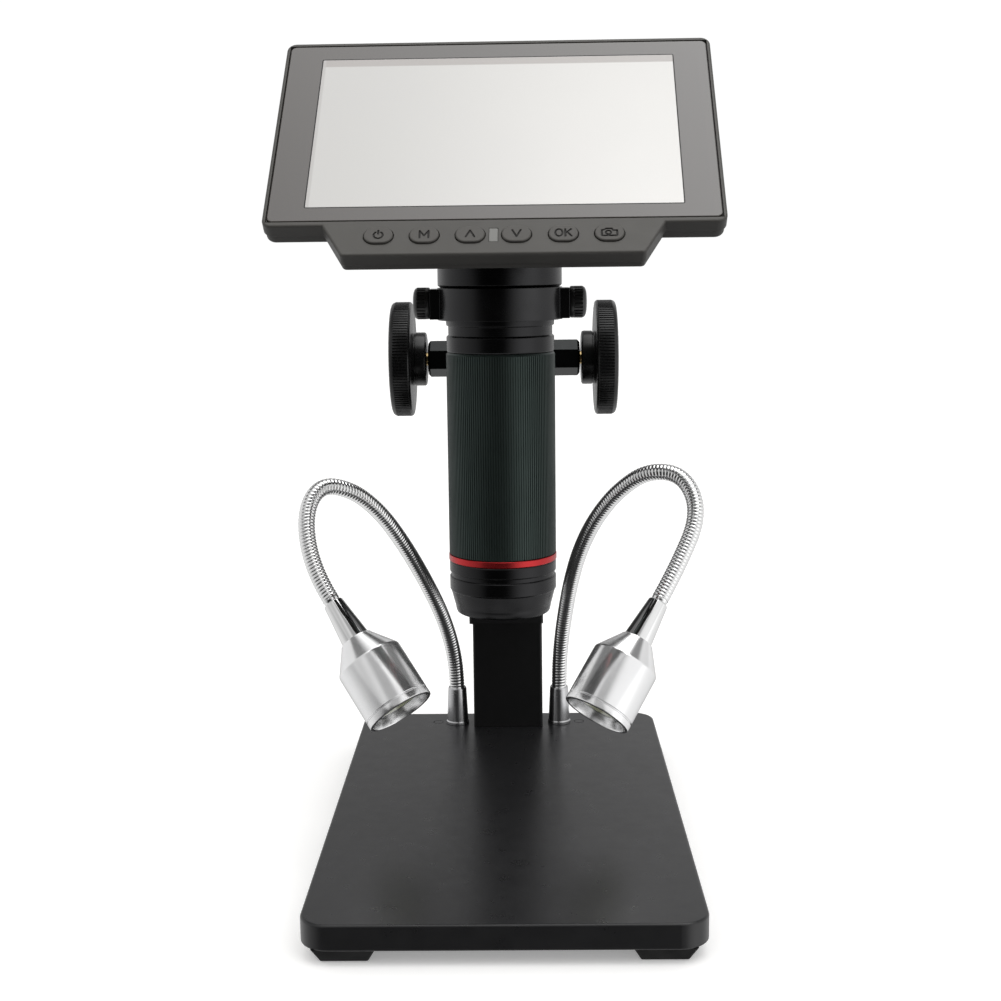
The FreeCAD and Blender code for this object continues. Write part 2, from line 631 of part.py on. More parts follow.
b = body("red_ring")
turn(b, poly(b, "XZ_Plane", [(16.06, red_low), (17.35, red_low), (17.45, red_low + 0.2), (17.45, sleeve_low - 0.2), (17.35, sleeve_low), (16.06, sleeve_low)]))
on_neck(b)

b = body("lens_cell")
turn(b, poly(b, "XZ_Plane", [(8.6, 125.0), (14.42, 125.0), (14.42, 145.0), (10.0, 145.0), (10.0, 130.0), (8.6, 130.0)]))
pad(b, circles(b, "YZ_Plane", [(0, 135, 1.0)], 13.0), 3.5)
on_neck(b)

b = body("moving_lens")
turn(b, poly(b, "XZ_Plane", [(0, 129.4), (4, 129.6), (8.5, 130.1), (9.95, 130.1), (9.95, 133.6), (8.5, 133.6), (4, 134.6), (0, 134.9)]))
on_neck(b)

# ---- screen head --------------------------------------------------------
outline = [(-shell_half, shell_top), (-shell_half, -shell_bottom), (-bar_top_half, -shell_bottom), (-bar_low_half, -bar_low),
           (bar_low_half, -bar_low), (bar_top_half, -shell_bottom), (shell_half, -shell_bottom), (shell_half, shell_top)]
button_u = {"power": -32.2, "menu": -19.3, "up": -6.4, "down": 6.6, "ok": 19.7, "capture": 32.6}

b = body("front_shell")
pad(b, poly(b, "XY_Plane", outline), front_depth, back=True)
fillet(b, lambda e: upright(e) and abs(abs(e.Vertexes[0].Point.x) - 66) < 1e-3, 3.0)
fillet(b, lambda e: upright(e) and abs(e.Vertexes[0].Point.y + 51.6) < 1e-3, 1.5)
fillet(b, lambda e: level(e, 0.0), 0.7)
pocket(b, poly(b, "XY_Plane", rect(-glass_half - 0.3, -glass_low - 0.3, glass_half + 0.3, glass_high + 0.3)), glass_thick + 0.05)
pocket(b, poly(b, "XY_Plane", rect(-60.4, -36.3, 60.4, 37.3)), 12)
pocket(b, poly(b, "XY_Plane", [(-46.5, -40.3), (-41.1, -50.2), (41.1, -50.2), (46.5, -40.3)], -front_depth), front_depth - 1.7, back=True)
pocket(b, ovals(b, "XY_Plane", [(u, button_v, 8.75, 6.55) for u in button_u.values()]), 12)
pocket(b, poly(b, "XY_Plane", rect(-1.15, -46.95, 1.45, -41.65)), 12)
pocket(b, circles(b, "XY_Plane", [(-62.9, 36.5, 1.0), (62.9, 36.5, 1.0), (-62.9, -36.0, 1.0), (62.9, -36.0, 1.0)], -front_depth), 2.2, back=True)
on_head(b)

b = body("rear_shell")
ins = 0.45
pad(b, poly(b, "XY_Plane", rect(-shell_half + ins, -shell_bottom + ins, shell_half - ins, shell_top - ins), -front_depth), rim_depth - front_depth, back=True)
fillet(b, lambda e: upright(e) and abs(abs(e.Vertexes[0].Point.x) - 65.55) < 1e-3, 3.0)
fillet(b, lambda e: level(e, -7.4), 1.0)
tab = [(-bar_top_half + ins - 0.8, -shell_bottom + ins + 2.0), (-bar_top_half + ins, -shell_bottom + ins), (-bar_low_half + 0.3, -bar_low + ins),
       (bar_low_half - 0.3, -bar_low + ins), (bar_top_half - ins, -shell_bottom + ins), (bar_top_half - ins + 0.8, -shell_bottom + ins + 2.0)]
pad(b, poly(b, "XY_Plane", tab, -front_depth), 2.2, back=True)
fillet(b, lambda e: upright(e) and abs(e.Vertexes[0].Point.y + 51.15) < 1e-3, 1.5)
hs = poly(b, "XY_Plane", rect(-58, -31.5, 58, 38.5), -rim_depth)
pad(b, hs, back_depth - rim_depth, back=True)
fillet(b, lambda e: upright(e) and abs(abs(e.Vertexes[0].Point.x) - 58) < 1e-3, 6.0)
fillet(b, lambda e: level(e, -22.0), 3.0)
# the lower back corner slopes away under the hand
pocket(b, poly(b, "YZ_Plane", [(-34, -12), (-34, -23), (-23, -23)]), 140, mid=True)
# the hollow behind the display, and the shallow one behind the buttons
pocket(b, poly(b, "XY_Plane", rect(-62, -36.5, 62, 37.5), -front_depth), 1.9)
pocket(b, poly(b, "XY_Plane", rect(-56, -29.5, 56, 36.5), -front_depth), 9.0)
pocket(b, poly(b, "XY_Plane", rect(-55.5, -22.0, 55.5, 36.0), -front_depth), 16.2)
pocket(b, poly(b, "XY_Plane", [(-45.0, -39.0), (-41.0, -50.0), (41.0, -50.0), (45.0, -39.0)], -front_depth), 1.0)
pocket(b, poly(b, "XY_Plane", rect(-10, -40, 10, -35), -front_depth), 1.0)
pocket(b, circles(b, "XY_Plane", [(0, 8.0, 9.0)], -18), 6)
pocket(b, circles(b, "XY_Plane", [(-62.9, 36.5, 1.25), (62.9, 36.5, 1.25), (-62.9, -36.0, 1.25), (62.9, -36.0, 1.25)], -3), 6)
# sockets on the left side wall
pocket(b, poly(b, "YZ_Plane", [(4.0, -16.4), (20.0, -16.4), (20.0, -10.2), (4.0, -10.2)], -60), 5, back=True)
pocket(b, poly(b, "YZ_Plane", [(-8.0, -14.0), (0.2, -14.0), (0.2, -10.5), (-8.0, -10.5)], -60), 5, back=True)
pocket(b, poly(b, "YZ_Plane", [(-25.0, -13.0), (-12.6, -13.0), (-12.6, -10.5), (-25.0, -10.5)], -60), 5, back=True)
# vent slots low on the back
s = new_sketch(b, "XY_Plane", -23.0)
gi = 0
for x in (-46, -41, -36, -31, -26, 26, 31, 36, 41, 46):
    for (p, q) in (((x - 0.8, -20), (x + 0.8, -20)), ((x + 0.8, -20), (x + 0.8, -11)), ((x + 0.8, -11), (x - 0.8, -11)), ((x - 0.8, -11), (x - 0.8, -20))):
        s.addGeometry(Part.LineSegment(Vector(p[0], p[1], 0), Vector(q[0], q[1], 0)), False)
    for j in range(4):
        s.addConstraint(Sketcher.Constraint("Coincident", gi + j, 2, gi + (j + 1) % 4, 1))
    gi += 4
pocket(b, s, 5, back=True)
on_head(b)

b = body("screen_glass")
pad(b, poly(b, "XY_Plane", rect(-glass_half, -glass_low, glass_half, glass_high)), glass_thick, back=True)
fillet(b, upright, 1.8)
on_head(b)

b = body("lcd_module")
pad(b, poly(b, "XY_Plane", rect(-60.0, -36.0, 60.0, 37.0), -1.25), 3.2, back=True)
on_head(b)

b = body("main_board")
pad(b, poly(b, "XY_Plane", rect(-53, -27, 53, 33), -9.0), 1.6, back=True)
pad(b, poly(b, "XY_Plane", rect(10, -8, 24, 6), -10.5), 1.3, back=True)
pad(b, poly(b, "XY_Plane", rect(28, 10, 38, 20), -10.5), 1.3, back=True)
pad(b, poly(b, "XY_Plane", rect(-20, -6, -8, 10), -10.5), 1.3, back=True)
pocket(b, circles(b, "XY_Plane", [(-48, 28, 1.6), (48, 28, 1.6), (-48, -22, 1.6), (48, -22, 1.6)]), 30)
on_head(b)

b = body("button_board")
pad(b, poly(b, "XY_Plane", [(-43.8, -41.6), (-40.6, -49.4), (40.6, -49.4), (43.8, -41.6)], -3.55), 1.2, back=True)
on_head(b)

b = body("indicator_window")
pad(b, poly(b, "XY_Plane", rect(-1.1, -46.9, 1.4, -41.7), 0.0), 1.9, back=True)
on_head(b)

cs = []
for (x, y) in ((-62.9, 36.5), (62.9, 36.5), (-62.9, -36.0), (62.9, -36.0)):
    c = pan_screw(0.97, 5.3, 1.9, 1.2, (x, y, -rim_depth.v - 0.001), (0, 0, 1))
    c.Placement = head_pl
    cs.append(c)
fixed("case_screws", Part.makeCompound(cs))

# three sockets soldered to the main board, behind the side wall
io = []
box1 = Part.makeBox(11.5, 15.0, 5.5, Vector(-58.2, 4.5, -16.12)).cut(Part.makeBox(10.0, 14.0, 4.5, Vector(-58.3, 5.0, -15.62)))
tongue = Part.makeBox(9.0, 11.0, 1.2, Vector(-57.0, 6.5, -14.0))
io.append(box1.fuse(tongue).removeSplitter())
box2 = Part.makeBox(5.6, 7.6, 2.8, Vector(-58.2, -7.7, -13.42)).cut(Part.makeBox(4.6, 7.0, 2.2, Vector(-58.3, -7.4, -13.12)))
io.append(box2.fuse(Part.makeBox(4.9, 5.0, 0.5, Vector(-57.6, -6.4, -12.3))).removeSplitter())
box3 = Part.makeBox(14.0, 12.0, 1.9, Vector(-58.2, -24.8, -12.55)).cut(Part.makeBox(13.0, 11.0, 0.9, Vector(-58.3, -24.3, -12.05)))
io.append(box3)
for s_ in io:
    s_.Placement = head_pl
fixed("side_sockets", Part.makeCompound(io))

for name, u in button_u.items():
    b = body(name + "_button")
    pad(b, ovals(b, "XY_Plane", [(0, 0, button_len, button_wide)], 0.6), 2.55, back=True)
    fillet(b, lambda e: level(e, 0.6), 0.4)
    pad(b, ovals(b, "XY_Plane", [(0, 0, 9.7, 7.5)], -1.8), 0.7, back=True)
    place(b, head_pl.multiply(Placement(Vector(u, button_v.v, 0), Rotation())))

# ---- goosenecks and lamps ----------------------------------------------
R = gooseneck_rad.v
ball = R - 0.02
lamps = {
    "left": dict(pts=[(-20.90, 87.30, 20.0), (-20.90, 87.30, 33.0), (-22.5, 84.9, 46.0), (-26.1, 77.9, 61.0), (-31.96, 67.0, 77.5), (-38.86, 55.0, 94.0),
                      (-46.4, 44.2, 108.3), (-55.5, 35.6, 118.2), (-66.8, 29.0, 121.6), (-72.0, 22.3, 111.5), (-68.13, 12.59, 93.34), (-61.17, 7.30, 83.72)],
                 axis=(0.53509, -0.40712, -0.74023), cut=4),
    "right": dict(pts=[(20.90, 87.30, 20.0), (20.90, 87.30, 33.0), (21.7, 85.2, 46.0), (23.2, 79.6, 60.0), (25.4, 70.6, 75.6), (28.7, 61.5, 90.2),
                       (34.05, 52.9, 103.5), (42.0, 44.6, 115.5), (52.6, 36.3, 124.4), (65.2, 30.2, 123.6), (70.2, 23.0, 110.5), (61.09, 13.63, 92.55), (54.64, 7.99, 82.77)],
                  axis=(-0.4958, -0.43431, -0.75204), cut=4),
}


def route_wire(P):
    """Straight runs joined by tangent arcs, each arc as large as its two runs allow."""
    segs = []
    cur = P[0]
    radii = []
    for i in range(1, len(P) - 1):
        a = P[i] - P[i - 1]
        c = P[i + 1] - P[i]
        la, lc = a.Length, c.Length
        ua, uc = a * (1 / la), c * (1 / lc)
        ang = math.acos(max(-1, min(1, ua.dot(uc))))
        t = 0.45 * min(la, lc)
        p1 = P[i] - ua * t
        p2 = P[i] + uc * t
        radii.append(t / math.tan(ang / 2))
        mid_dir = (uc - ua)
        mid_dir = mid_dir * (1 / mid_dir.Length)
        rad = radii[-1]
        cen_dist = rad / math.cos(ang / 2)
        cen = P[i] + mid_dir * cen_dist
        mid = cen - mid_dir * rad
        if (p1 - cur).Length > 1e-6:
            segs.append(Part.LineSegment(cur, p1).toShape())
        segs.append(Part.Arc(p1, mid, p2).toShape())
        cur = p2
    segs.append(Part.LineSegment(cur, P[-1]).toShape())
    return Part.Wire(segs), radii


def tube(P):
    w, radii = route_wire(P)
    d0 = (P[1] - P[0])
    prof = Part.Wire([Part.Circle(P[0], d0, R).toShape()])
    sh = w.makePipeShell([prof], True, True)
    sol = Part.Solid(sh.Shells[0]) if not sh.Solids else sh.Solids[0]
    want = math.pi * R * R * w.Length
    if abs(sol.Volume - want) > 0.01 * want:
        raise RuntimeError("tube volume is off: %g %g" % (sol.Volume, want))
    print("tube length %.1f, tightest radius %.1f" % (w.Length, min(radii)))
    return sol


def ball_end(solid, c):
    return solid.fuse(Part.makeSphere(ball, c))


for side in ("left", "right"):
    L = lamps[side]
    P = [Vector(*p) for p in L["pts"]]
    k = L["cut"]
    # the bend joint sits in the middle of a straight stretch, between arcs
    a, c = P[k], P[k + 1]
    mid = (a + c) * 0.5
    u = (c - a) * (1 / (c - a).Length)
    lower = tube(P[:k + 1] + [mid - u * 1.4])
    lower = ball_end(lower, mid)
    lower = lower.fuse(Part.makeCylinder(2.4, 1.5, mid - u * 1.5, u)).removeSplitter()
    fixed(side + "_gooseneck_lower", lower)
    J = P[-1]
    ax = Vector(*L["axis"])
    ax = ax * (1 / ax.Length)
    upper = tube([mid + u * 1.4] + P[k + 1:-1] + [J - ax * 1.4])
    upper = upper.cut(Part.makeSphere(R + 0.05, mid))
    upper = ball_end(upper, J)
    upper = upper.fuse(Part.makeCylinder(2.4, 1.5, J - ax * 1.5, ax)).removeSplitter()
    fixed(side + "_gooseneck_upper", upper)
    lp = Placement(J, Rotation(Vector(0, 0, 1), ax))
    b = body(side + "_lamp_neck")
    turn(b, poly(b, "XZ_Plane", [(0, 1.5), (3.4, 1.5), (3.6, 1.8), (5.2, 17.4), (5.2, 18.8), (2.4, 18.8), (2.4, 6.0), (0, 6.0)]))
    # spherical seat for the end ball of the gooseneck
    s = new_sketch(b, "XZ_Plane")
    s.addGeometry(Part.ArcOfCircle(Part.Circle(Vector(0, 0, 0), Vector(0, 0, 1), R + 0.06), -math.pi / 2, math.pi / 2), False)
    s.addGeometry(Part.LineSegment(Vector(0, R + 0.06, 0), Vector(0, -R - 0.06, 0)), False)
    s.addConstraint(Sketcher.Constraint("Coincident", 0, 2, 1, 1))
    s.addConstraint(Sketcher.Constraint("Coincident", 1, 2, 0, 1))
    gv = b.newObject("PartDesign::Groove", b.Name + "_seat")
    gv.Profile = s
    gv.ReferenceAxis = (s, ["V_Axis"])
    gv.Angle = 360
    doc.recompute()
    place(b, lp)
    b = body(side + "_lamp_housing")
    turn(b, poly(b, "XZ_Plane", [(5.22, 17.2), (5.9, 17.4), (6.1, 17.8), (lamp_rad - 0.2, 26.1), (lamp_rad, 26.6), (lamp_rad, 44.6), (lamp_rad - 0.3, 44.75), (lamp_rad - 0.3, 45.0), (lamp_rad, 45.15),
                                 (lamp_rad, lamp_len - 0.3), (lamp_rad - 0.3, lamp_len), (lamp_rad - 1.1, lamp_len), (lamp_rad - 1.7, 44.2), (lamp_rad - 1.7, 34.0), (5.22, 34.0)]))
    place(b, lp)
    b = body(side + "_lamp_lens")
    turn(b, poly(b, "XZ_Plane", [(0, 41.0), (6.0, 41.6), (10.25, 43.2), (10.25, 44.0), (0, 44.0)]))
    place(b, lp)
    b = body(side + "_lamp_led")
    turn(b, poly(b, "XZ_Plane", [(0, 34.1), (10.2, 34.1), (10.2, 35.7), (2.4, 35.7), (2.4, 36.6), (1.6, 37.6), (0, 38.0)]))
    place(b, lp)

# ---- checks and files ---------------------------------------------------
doc.recompute()
bad = [o.Name for o in doc.Objects if "Invalid" in o.State or "Error" in o.State]
if bad:
    raise RuntimeError("objects that failed: %s" % bad)
for name, o in nodes.items():
    sh = o.Shape
    if sh.isNull() or not sh.isValid() or not sh.Solids:
        raise RuntimeError("bad shape: %s" % name)
if len(nodes) > 60:
    raise RuntimeError("too many parts: %d" % len(nodes))
for name, o in nodes.items():
    sh = o.Shape
    out = sh.Solids[0] if len(sh.Solids) == 1 else Part.makeCompound(sh.Solids)
    out.exportStep(os.path.join("parts", name + ".step"))
print("parts:", len(nodes))
bb = None
for o in nodes.values():
    if bb is None:
        bb = FreeCAD.BoundBox(o.Shape.BoundBox)
    else:
        bb.add(o.Shape.BoundBox)
print("box", [round(q, 2) for q in (bb.XMin, bb.XMax, bb.YMin, bb.YMax, bb.ZMin, bb.ZMax)])
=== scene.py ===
import json
import math

import bmesh
import bpy
import numpy as np
from mathutils import Matrix, Vector


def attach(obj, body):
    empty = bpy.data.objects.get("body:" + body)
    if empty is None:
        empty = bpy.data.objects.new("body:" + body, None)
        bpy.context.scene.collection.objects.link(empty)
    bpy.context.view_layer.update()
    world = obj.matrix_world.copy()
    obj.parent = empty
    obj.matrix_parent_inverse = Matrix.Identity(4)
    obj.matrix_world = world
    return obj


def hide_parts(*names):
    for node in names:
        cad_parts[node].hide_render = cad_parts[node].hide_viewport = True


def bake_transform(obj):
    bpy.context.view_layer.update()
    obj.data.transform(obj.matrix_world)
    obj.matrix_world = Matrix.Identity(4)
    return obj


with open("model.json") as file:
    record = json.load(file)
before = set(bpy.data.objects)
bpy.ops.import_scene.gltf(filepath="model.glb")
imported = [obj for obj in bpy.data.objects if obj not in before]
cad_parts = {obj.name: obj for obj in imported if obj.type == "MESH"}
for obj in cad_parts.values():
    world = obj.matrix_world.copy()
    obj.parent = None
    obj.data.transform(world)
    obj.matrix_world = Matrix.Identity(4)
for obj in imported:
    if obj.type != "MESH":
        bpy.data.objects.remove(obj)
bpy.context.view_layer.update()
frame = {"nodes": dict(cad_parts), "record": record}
nodes = frame["nodes"]
MM = 0.001


# ------------------------------------------------------------------ places
def shift(x, y, z):
    return Matrix.Translation((x * MM, y * MM, z * MM))


HEAD = (
    shift(0, -28, 0)
    @ Matrix.Rotation(math.radians(-1.18), 4, "Z")
    @ shift(0, -20, 239.7)
    @ Matrix.Rotation(math.radians(45.66), 4, "X")
)
NECK = shift(0, -28, 0)
LAMPS = {
    "left": dict(
        pts=[(-20.90, 87.30, 20.0), (-20.90, 87.30, 33.0), (-22.5, 84.9, 46.0), (-26.1, 77.9, 61.0), (-31.96, 67.0, 77.5), (-38.86, 55.0, 94.0),
             (-46.4, 44.2, 108.3), (-55.5, 35.6, 118.2), (-66.8, 29.0, 121.6), (-72.0, 22.3, 111.5), (-68.13, 12.59, 93.34), (-61.17, 7.30, 83.72)],
        axis=(0.53509, -0.40712, -0.74023),
    ),
    "right": dict(
        pts=[(20.90, 87.30, 20.0), (20.90, 87.30, 33.0), (21.7, 85.2, 46.0), (23.2, 79.6, 60.0), (25.4, 70.6, 75.6), (28.7, 61.5, 90.2),
             (34.05, 52.9, 103.5), (42.0, 44.6, 115.5), (52.6, 36.3, 124.4), (65.2, 30.2, 123.6), (70.2, 23.0, 110.5), (61.09, 13.63, 92.55), (54.64, 7.99, 82.77)],
        axis=(-0.4958, -0.43431, -0.75204),
    ),
}


def along(z_axis, origin):
    """Matrix whose local Z points along z_axis, at origin (mm)."""
    q = Vector(z_axis).normalized().to_track_quat("Z", "Y")
    return Matrix.Translation(Vector(origin) * MM) @ q.to_matrix().to_4x4()


# --------------------------------------------------------------- materials
def new_mat(name):
    m = bpy.data.materials.new(name)
    m.use_nodes = True
    nt = m.node_tree
    nt.nodes.clear()
    out = nt.nodes.new("ShaderNodeOutputMaterial")
    p = nt.nodes.new("ShaderNodeBsdfPrincipled")
    nt.links.new(p.outputs["BSDF"], out.inputs["Surface"])
    return m, nt, p


def noise(nt, vector, scale, detail=2.0, rough=0.5):
    n = nt.nodes.new("ShaderNodeTexNoise")
    n.inputs["Scale"].default_value = scale
    n.inputs["Detail"].default_value = detail
    n.inputs["Roughness"].default_value = rough
    nt.links.new(vector, n.inputs["Vector"])
    return n.outputs["Fac"]


def remap(nt, value, a0, a1, b0, b1, smooth=False):
    n = nt.nodes.new("ShaderNodeMapRange")
    if smooth:
        n.interpolation_type = "SMOOTHSTEP"
    n.inputs["From Min"].default_value = a0
    n.inputs["From Max"].default_value = a1
    n.inputs["To Min"].default_value = b0
    n.inputs["To Max"].default_value = b1
    nt.links.new(value, n.inputs["Value"])
    return n.outputs["Result"]


def math2(nt, op, a, b=None):
    n = nt.nodes.new("ShaderNodeMath")
    n.operation = op
    for i, v in enumerate((a, b)):
        if v is None:
            continue
        if isinstance(v, (int, float)):
            n.inputs[i].default_value = v
        else:
            nt.links.new(v, n.inputs[i])
    return n.outputs[0]


def blend_col(nt, fac, c0, c1):
    n = nt.nodes.new("ShaderNodeMix")
    n.data_type = "RGBA"
    nt.links.new(fac, n.inputs["Factor"])
    for key, c in (("A", c0), ("B", c1)):
        s = [i for i in n.inputs if i.name == key and i.type == "RGBA"][0]
        if isinstance(c, (tuple, list)):
            s.default_value = (*c, 1.0)
        else:
            nt.links.new(c, s)
    return [o for o in n.outputs if o.type == "RGBA"][0]


def surface(name, base, metallic=0.0, rough=0.5, rough_vary=0.06, vary=0.12, grain=None, mottling=60.0, rings=None, coat=0.0, coat_rough=0.1,
            spec=0.5, ior=1.5, aniso=0.0, bevel=0.0, transmission=0.0, emission=0.0, scratches=0.0, worn=0.0):
    """A finish with slow colour and gloss variation, a fine grain, turned rings along local Z and softened edges."""
    m, nt, p = new_mat(name)
    tc = nt.nodes.new("ShaderNodeTexCoord")
    obj = tc.outputs["Object"]
    slow = noise(nt, obj, mottling, 3.0)
    dark = tuple(c * (1 - vary) for c in base)
    light = tuple(min(1.0, c * (1 + vary)) for c in base)
    col = blend_col(nt, remap(nt, slow, 0.3, 0.7, 0.0, 1.0), dark, light)
    r_in = noise(nt, obj, mottling * 3.1, 4.0, 0.6)
    r_out = remap(nt, r_in, 0.25, 0.75, max(0.02, rough - rough_vary), rough + rough_vary)
    height = None
    if grain:
        height = noise(nt, obj, grain[0], 3.0, 0.55)
        strength, dist = grain[1], grain[2]
    if rings:
        sep = nt.nodes.new("ShaderNodeSeparateXYZ")
        nt.links.new(obj, sep.inputs[0])
        n1 = nt.nodes.new("ShaderNodeTexNoise")
        n1.noise_dimensions = "1D"
        n1.inputs["Scale"].default_value = rings[0]
        n1.inputs["Detail"].default_value = 3.0
        nt.links.new(sep.outputs["Z"], n1.inputs["W"])
        height = n1.outputs["Fac"] if height is None else math2(nt, "ADD", height, n1.outputs["Fac"])
        strength, dist = rings[1], rings[2]
        r_out = math2(nt, "ADD", r_out, remap(nt, n1.outputs["Fac"], 0.3, 0.7, -0.03, 0.03))
    if scratches:
        mp = nt.nodes.new("ShaderNodeMapping")
        mp.inputs["Scale"].default_value = (900, 60, 300)
        nt.links.new(obj, mp.inputs["Vector"])
        sc = noise(nt, mp.outputs[0], 1.0, 4.0, 0.7)
        r_out = math2(nt, "ADD", r_out, remap(nt, sc, 0.62, 0.75, 0.0, scratches))
    if worn:
        geo = nt.nodes.new("ShaderNodeNewGeometry")
        edge = remap(nt, geo.outputs["Pointiness"], 0.52, 0.60, 0.0, worn)
        col = blend_col(nt, edge, col, tuple(min(1.0, c * 2.6 + 0.05) for c in base))
    nt.links.new(col, p.inputs["Base Color"])
    nt.links.new(r_out, p.inputs["Roughness"])
    p.inputs["Metallic"].default_value = metallic
    p.inputs["Specular IOR Level"].default_value = spec
    p.inputs["IOR"].default_value = ior
    p.inputs["Coat Weight"].default_value = coat
    p.inputs["Coat Roughness"].default_value = coat_rough
    p.inputs["Anisotropic"].default_value = aniso
    p.inputs["Transmission Weight"].default_value = transmission
    if emission:
        p.inputs["Emission Color"].default_value = (*base, 1)
        p.inputs["Emission Strength"].default_value = emission
    normal = None
    if bevel:
        bv = nt.nodes.new("ShaderNodeBevel")
        bv.samples = 4
        bv.inputs["Radius"].default_value = bevel * MM
        normal = bv.outputs["Normal"]
    if height is not None:
        b = nt.nodes.new("ShaderNodeBump")
        b.inputs["Strength"].default_value = strength
        b.inputs["Distance"].default_value = dist * MM
        nt.links.new(height, b.inputs["Height"])
        if normal is not None:
            nt.links.new(normal, b.inputs["Normal"])
        normal = b.outputs["Normal"]
    if normal is not None:
        nt.links.new(normal, p.inputs["Normal"])
    return m


MAT = {
    "powder": surface("powder_coat_black", (0.0135, 0.0135, 0.0145), rough=0.30, rough_vary=0.04, vary=0.08, grain=(4200, 0.28, 0.045), bevel=0.45, spec=0.5),
    # painted shade: a darker copy of the black powder coat for the column and its slide parts, which sit in the head's
    # shade
    "column": surface("powder_coat_column_painted_shade", (0.0085, 0.0085, 0.0088), rough=0.38, rough_vary=0.05, vary=0.08, grain=(4200, 0.3, 0.05), bevel=0.4, spec=0.4),
    "anodised": surface("black_anodised_turned", (0.031, 0.031, 0.032), metallic=1.0, rough=0.26, rough_vary=0.04, vary=0.06, rings=(5200, 0.20, 0.02), bevel=0.25),
    "anodised_plain": surface("black_anodised", (0.038, 0.038, 0.039), metallic=1.0, rough=0.26, rough_vary=0.04, vary=0.06, grain=(5200, 0.15, 0.02), bevel=0.35),
    "hex": surface("bearing_black", (0.030, 0.032, 0.032), metallic=1.0, rough=0.22, rough_vary=0.04, vary=0.05, grain=(2600, 0.1, 0.02), bevel=0.2),
    "shell": surface("shell_plastic", (0.080, 0.077, 0.071), rough=0.44, rough_vary=0.04, vary=0.05, grain=(3600, 0.40, 0.045), bevel=0.25, spec=0.40),
    "button": surface("button_plastic", (0.086, 0.082, 0.076), rough=0.48, rough_vary=0.04, vary=0.05, grain=(4200, 0.3, 0.03), spec=0.40),
    "sleeve": surface("sleeve_green_black", (0.043, 0.060, 0.055), metallic=0.60, rough=0.36, rough_vary=0.04, vary=0.08, grain=(6000, 0.2, 0.02), spec=0.30),
    "red": surface("red_anodised", (0.52, 0.030, 0.034), metallic=0.8, rough=0.26, rough_vary=0.04, vary=0.06, rings=(6000, 0.2, 0.02)),
    "knob": surface("knob_black", (0.011, 0.011, 0.0112), rough=0.27, rough_vary=0.05, vary=0.1, grain=(2500, 0.08, 0.02), coat=0.08, coat_rough=0.12, spec=0.36, scratches=0.08),
    "thumb": surface("thumb_screw_black", (0.026, 0.026, 0.026), rough=0.34, rough_vary=0.05, vary=0.1, grain=(2500, 0.1, 0.02), spec=0.55),
    "steel": surface("zinc_steel", (0.56, 0.56, 0.57), metallic=1.0, rough=0.30, rough_vary=0.08, vary=0.06, grain=(1800, 0.12, 0.02), scratches=0.2),
    "brass": surface("brass", (0.72, 0.53, 0.26), metallic=1.0, rough=0.24, rough_vary=0.05, vary=0.05, grain=(1500, 0.08, 0.02), scratches=0.15),
    "rubber": surface("rubber", (0.010, 0.010, 0.0105), rough=0.72, rough_vary=0.08, vary=0.1, grain=(2400, 0.5, 0.06), spec=0.25, bevel=0.4),
    "chrome": surface("gooseneck_steel", (0.82, 0.82, 0.82), metallic=1.0, rough=0.17, rough_vary=0.05, vary=0.03, grain=(1300, 0.05, 0.02)),
    "polished": surface("polished_nickel", (0.80, 0.80, 0.80), metallic=1.0, rough=0.07, rough_vary=0.03, vary=0.02, rings=(2600, 0.05, 0.01)),
    "turned": surface("turned_aluminium", (0.90, 0.90, 0.905), metallic=0.88, rough=0.17, rough_vary=0.03, vary=0.03, rings=(7000, 0.25, 0.02)),
    "socket": surface("socket_nickel", (0.55, 0.55, 0.56), metallic=1.0, rough=0.22, rough_vary=0.04, vary=0.05, rings=(5000, 0.2, 0.02)),
    "nylon": surface("nylon", (0.78, 0.76, 0.70), rough=0.5, grain=(1500, 0.1, 0.03)),
    "board": surface("circuit_board", (0.02, 0.12, 0.05), rough=0.35, grain=(900, 0.15, 0.03), vary=0.2, mottling=220),
    "led": surface("light_board", (0.80, 0.78, 0.55), rough=0.4, grain=(900, 0.1, 0.02), vary=0.1, emission=0.15),
    "glass": surface("coated_glass", (0.93, 0.97, 0.98), rough=0.03, rough_vary=0.01, vary=0.01, transmission=1.0, ior=1.5, mottling=20),
    "objective_glass": surface("objective_glass", (0.015, 0.017, 0.024), rough=0.05, rough_vary=0.02, vary=0.1, coat=1.0, coat_rough=0.02),
    "indicator": surface("frosted_window", (0.20, 0.20, 0.19), rough=0.35, rough_vary=0.05, vary=0.05, grain=(2500, 0.1, 0.02)),
    "border": surface("screen_border", (0.036, 0.028, 0.0225), rough=0.12, rough_vary=0.02, vary=0.05, mottling=14, grain=(700, 0.03, 0.02), coat=1.0, coat_rough=0.05, spec=0.6),
    # painted shade: the marks are cut into the keys as grooves, and this darker colour stands for the shade inside them
    "mark_painted_shade": surface("engraved_mark_painted_shade", (0.022, 0.021, 0.020), rough=0.55, rough_vary=0.04, vary=0.05, grain=(4200, 0.3, 0.03), spec=0.3),
    "inside": surface("inside_black", (0.012, 0.012, 0.012), rough=0.6, grain=(1500, 0.2, 0.03)),
}


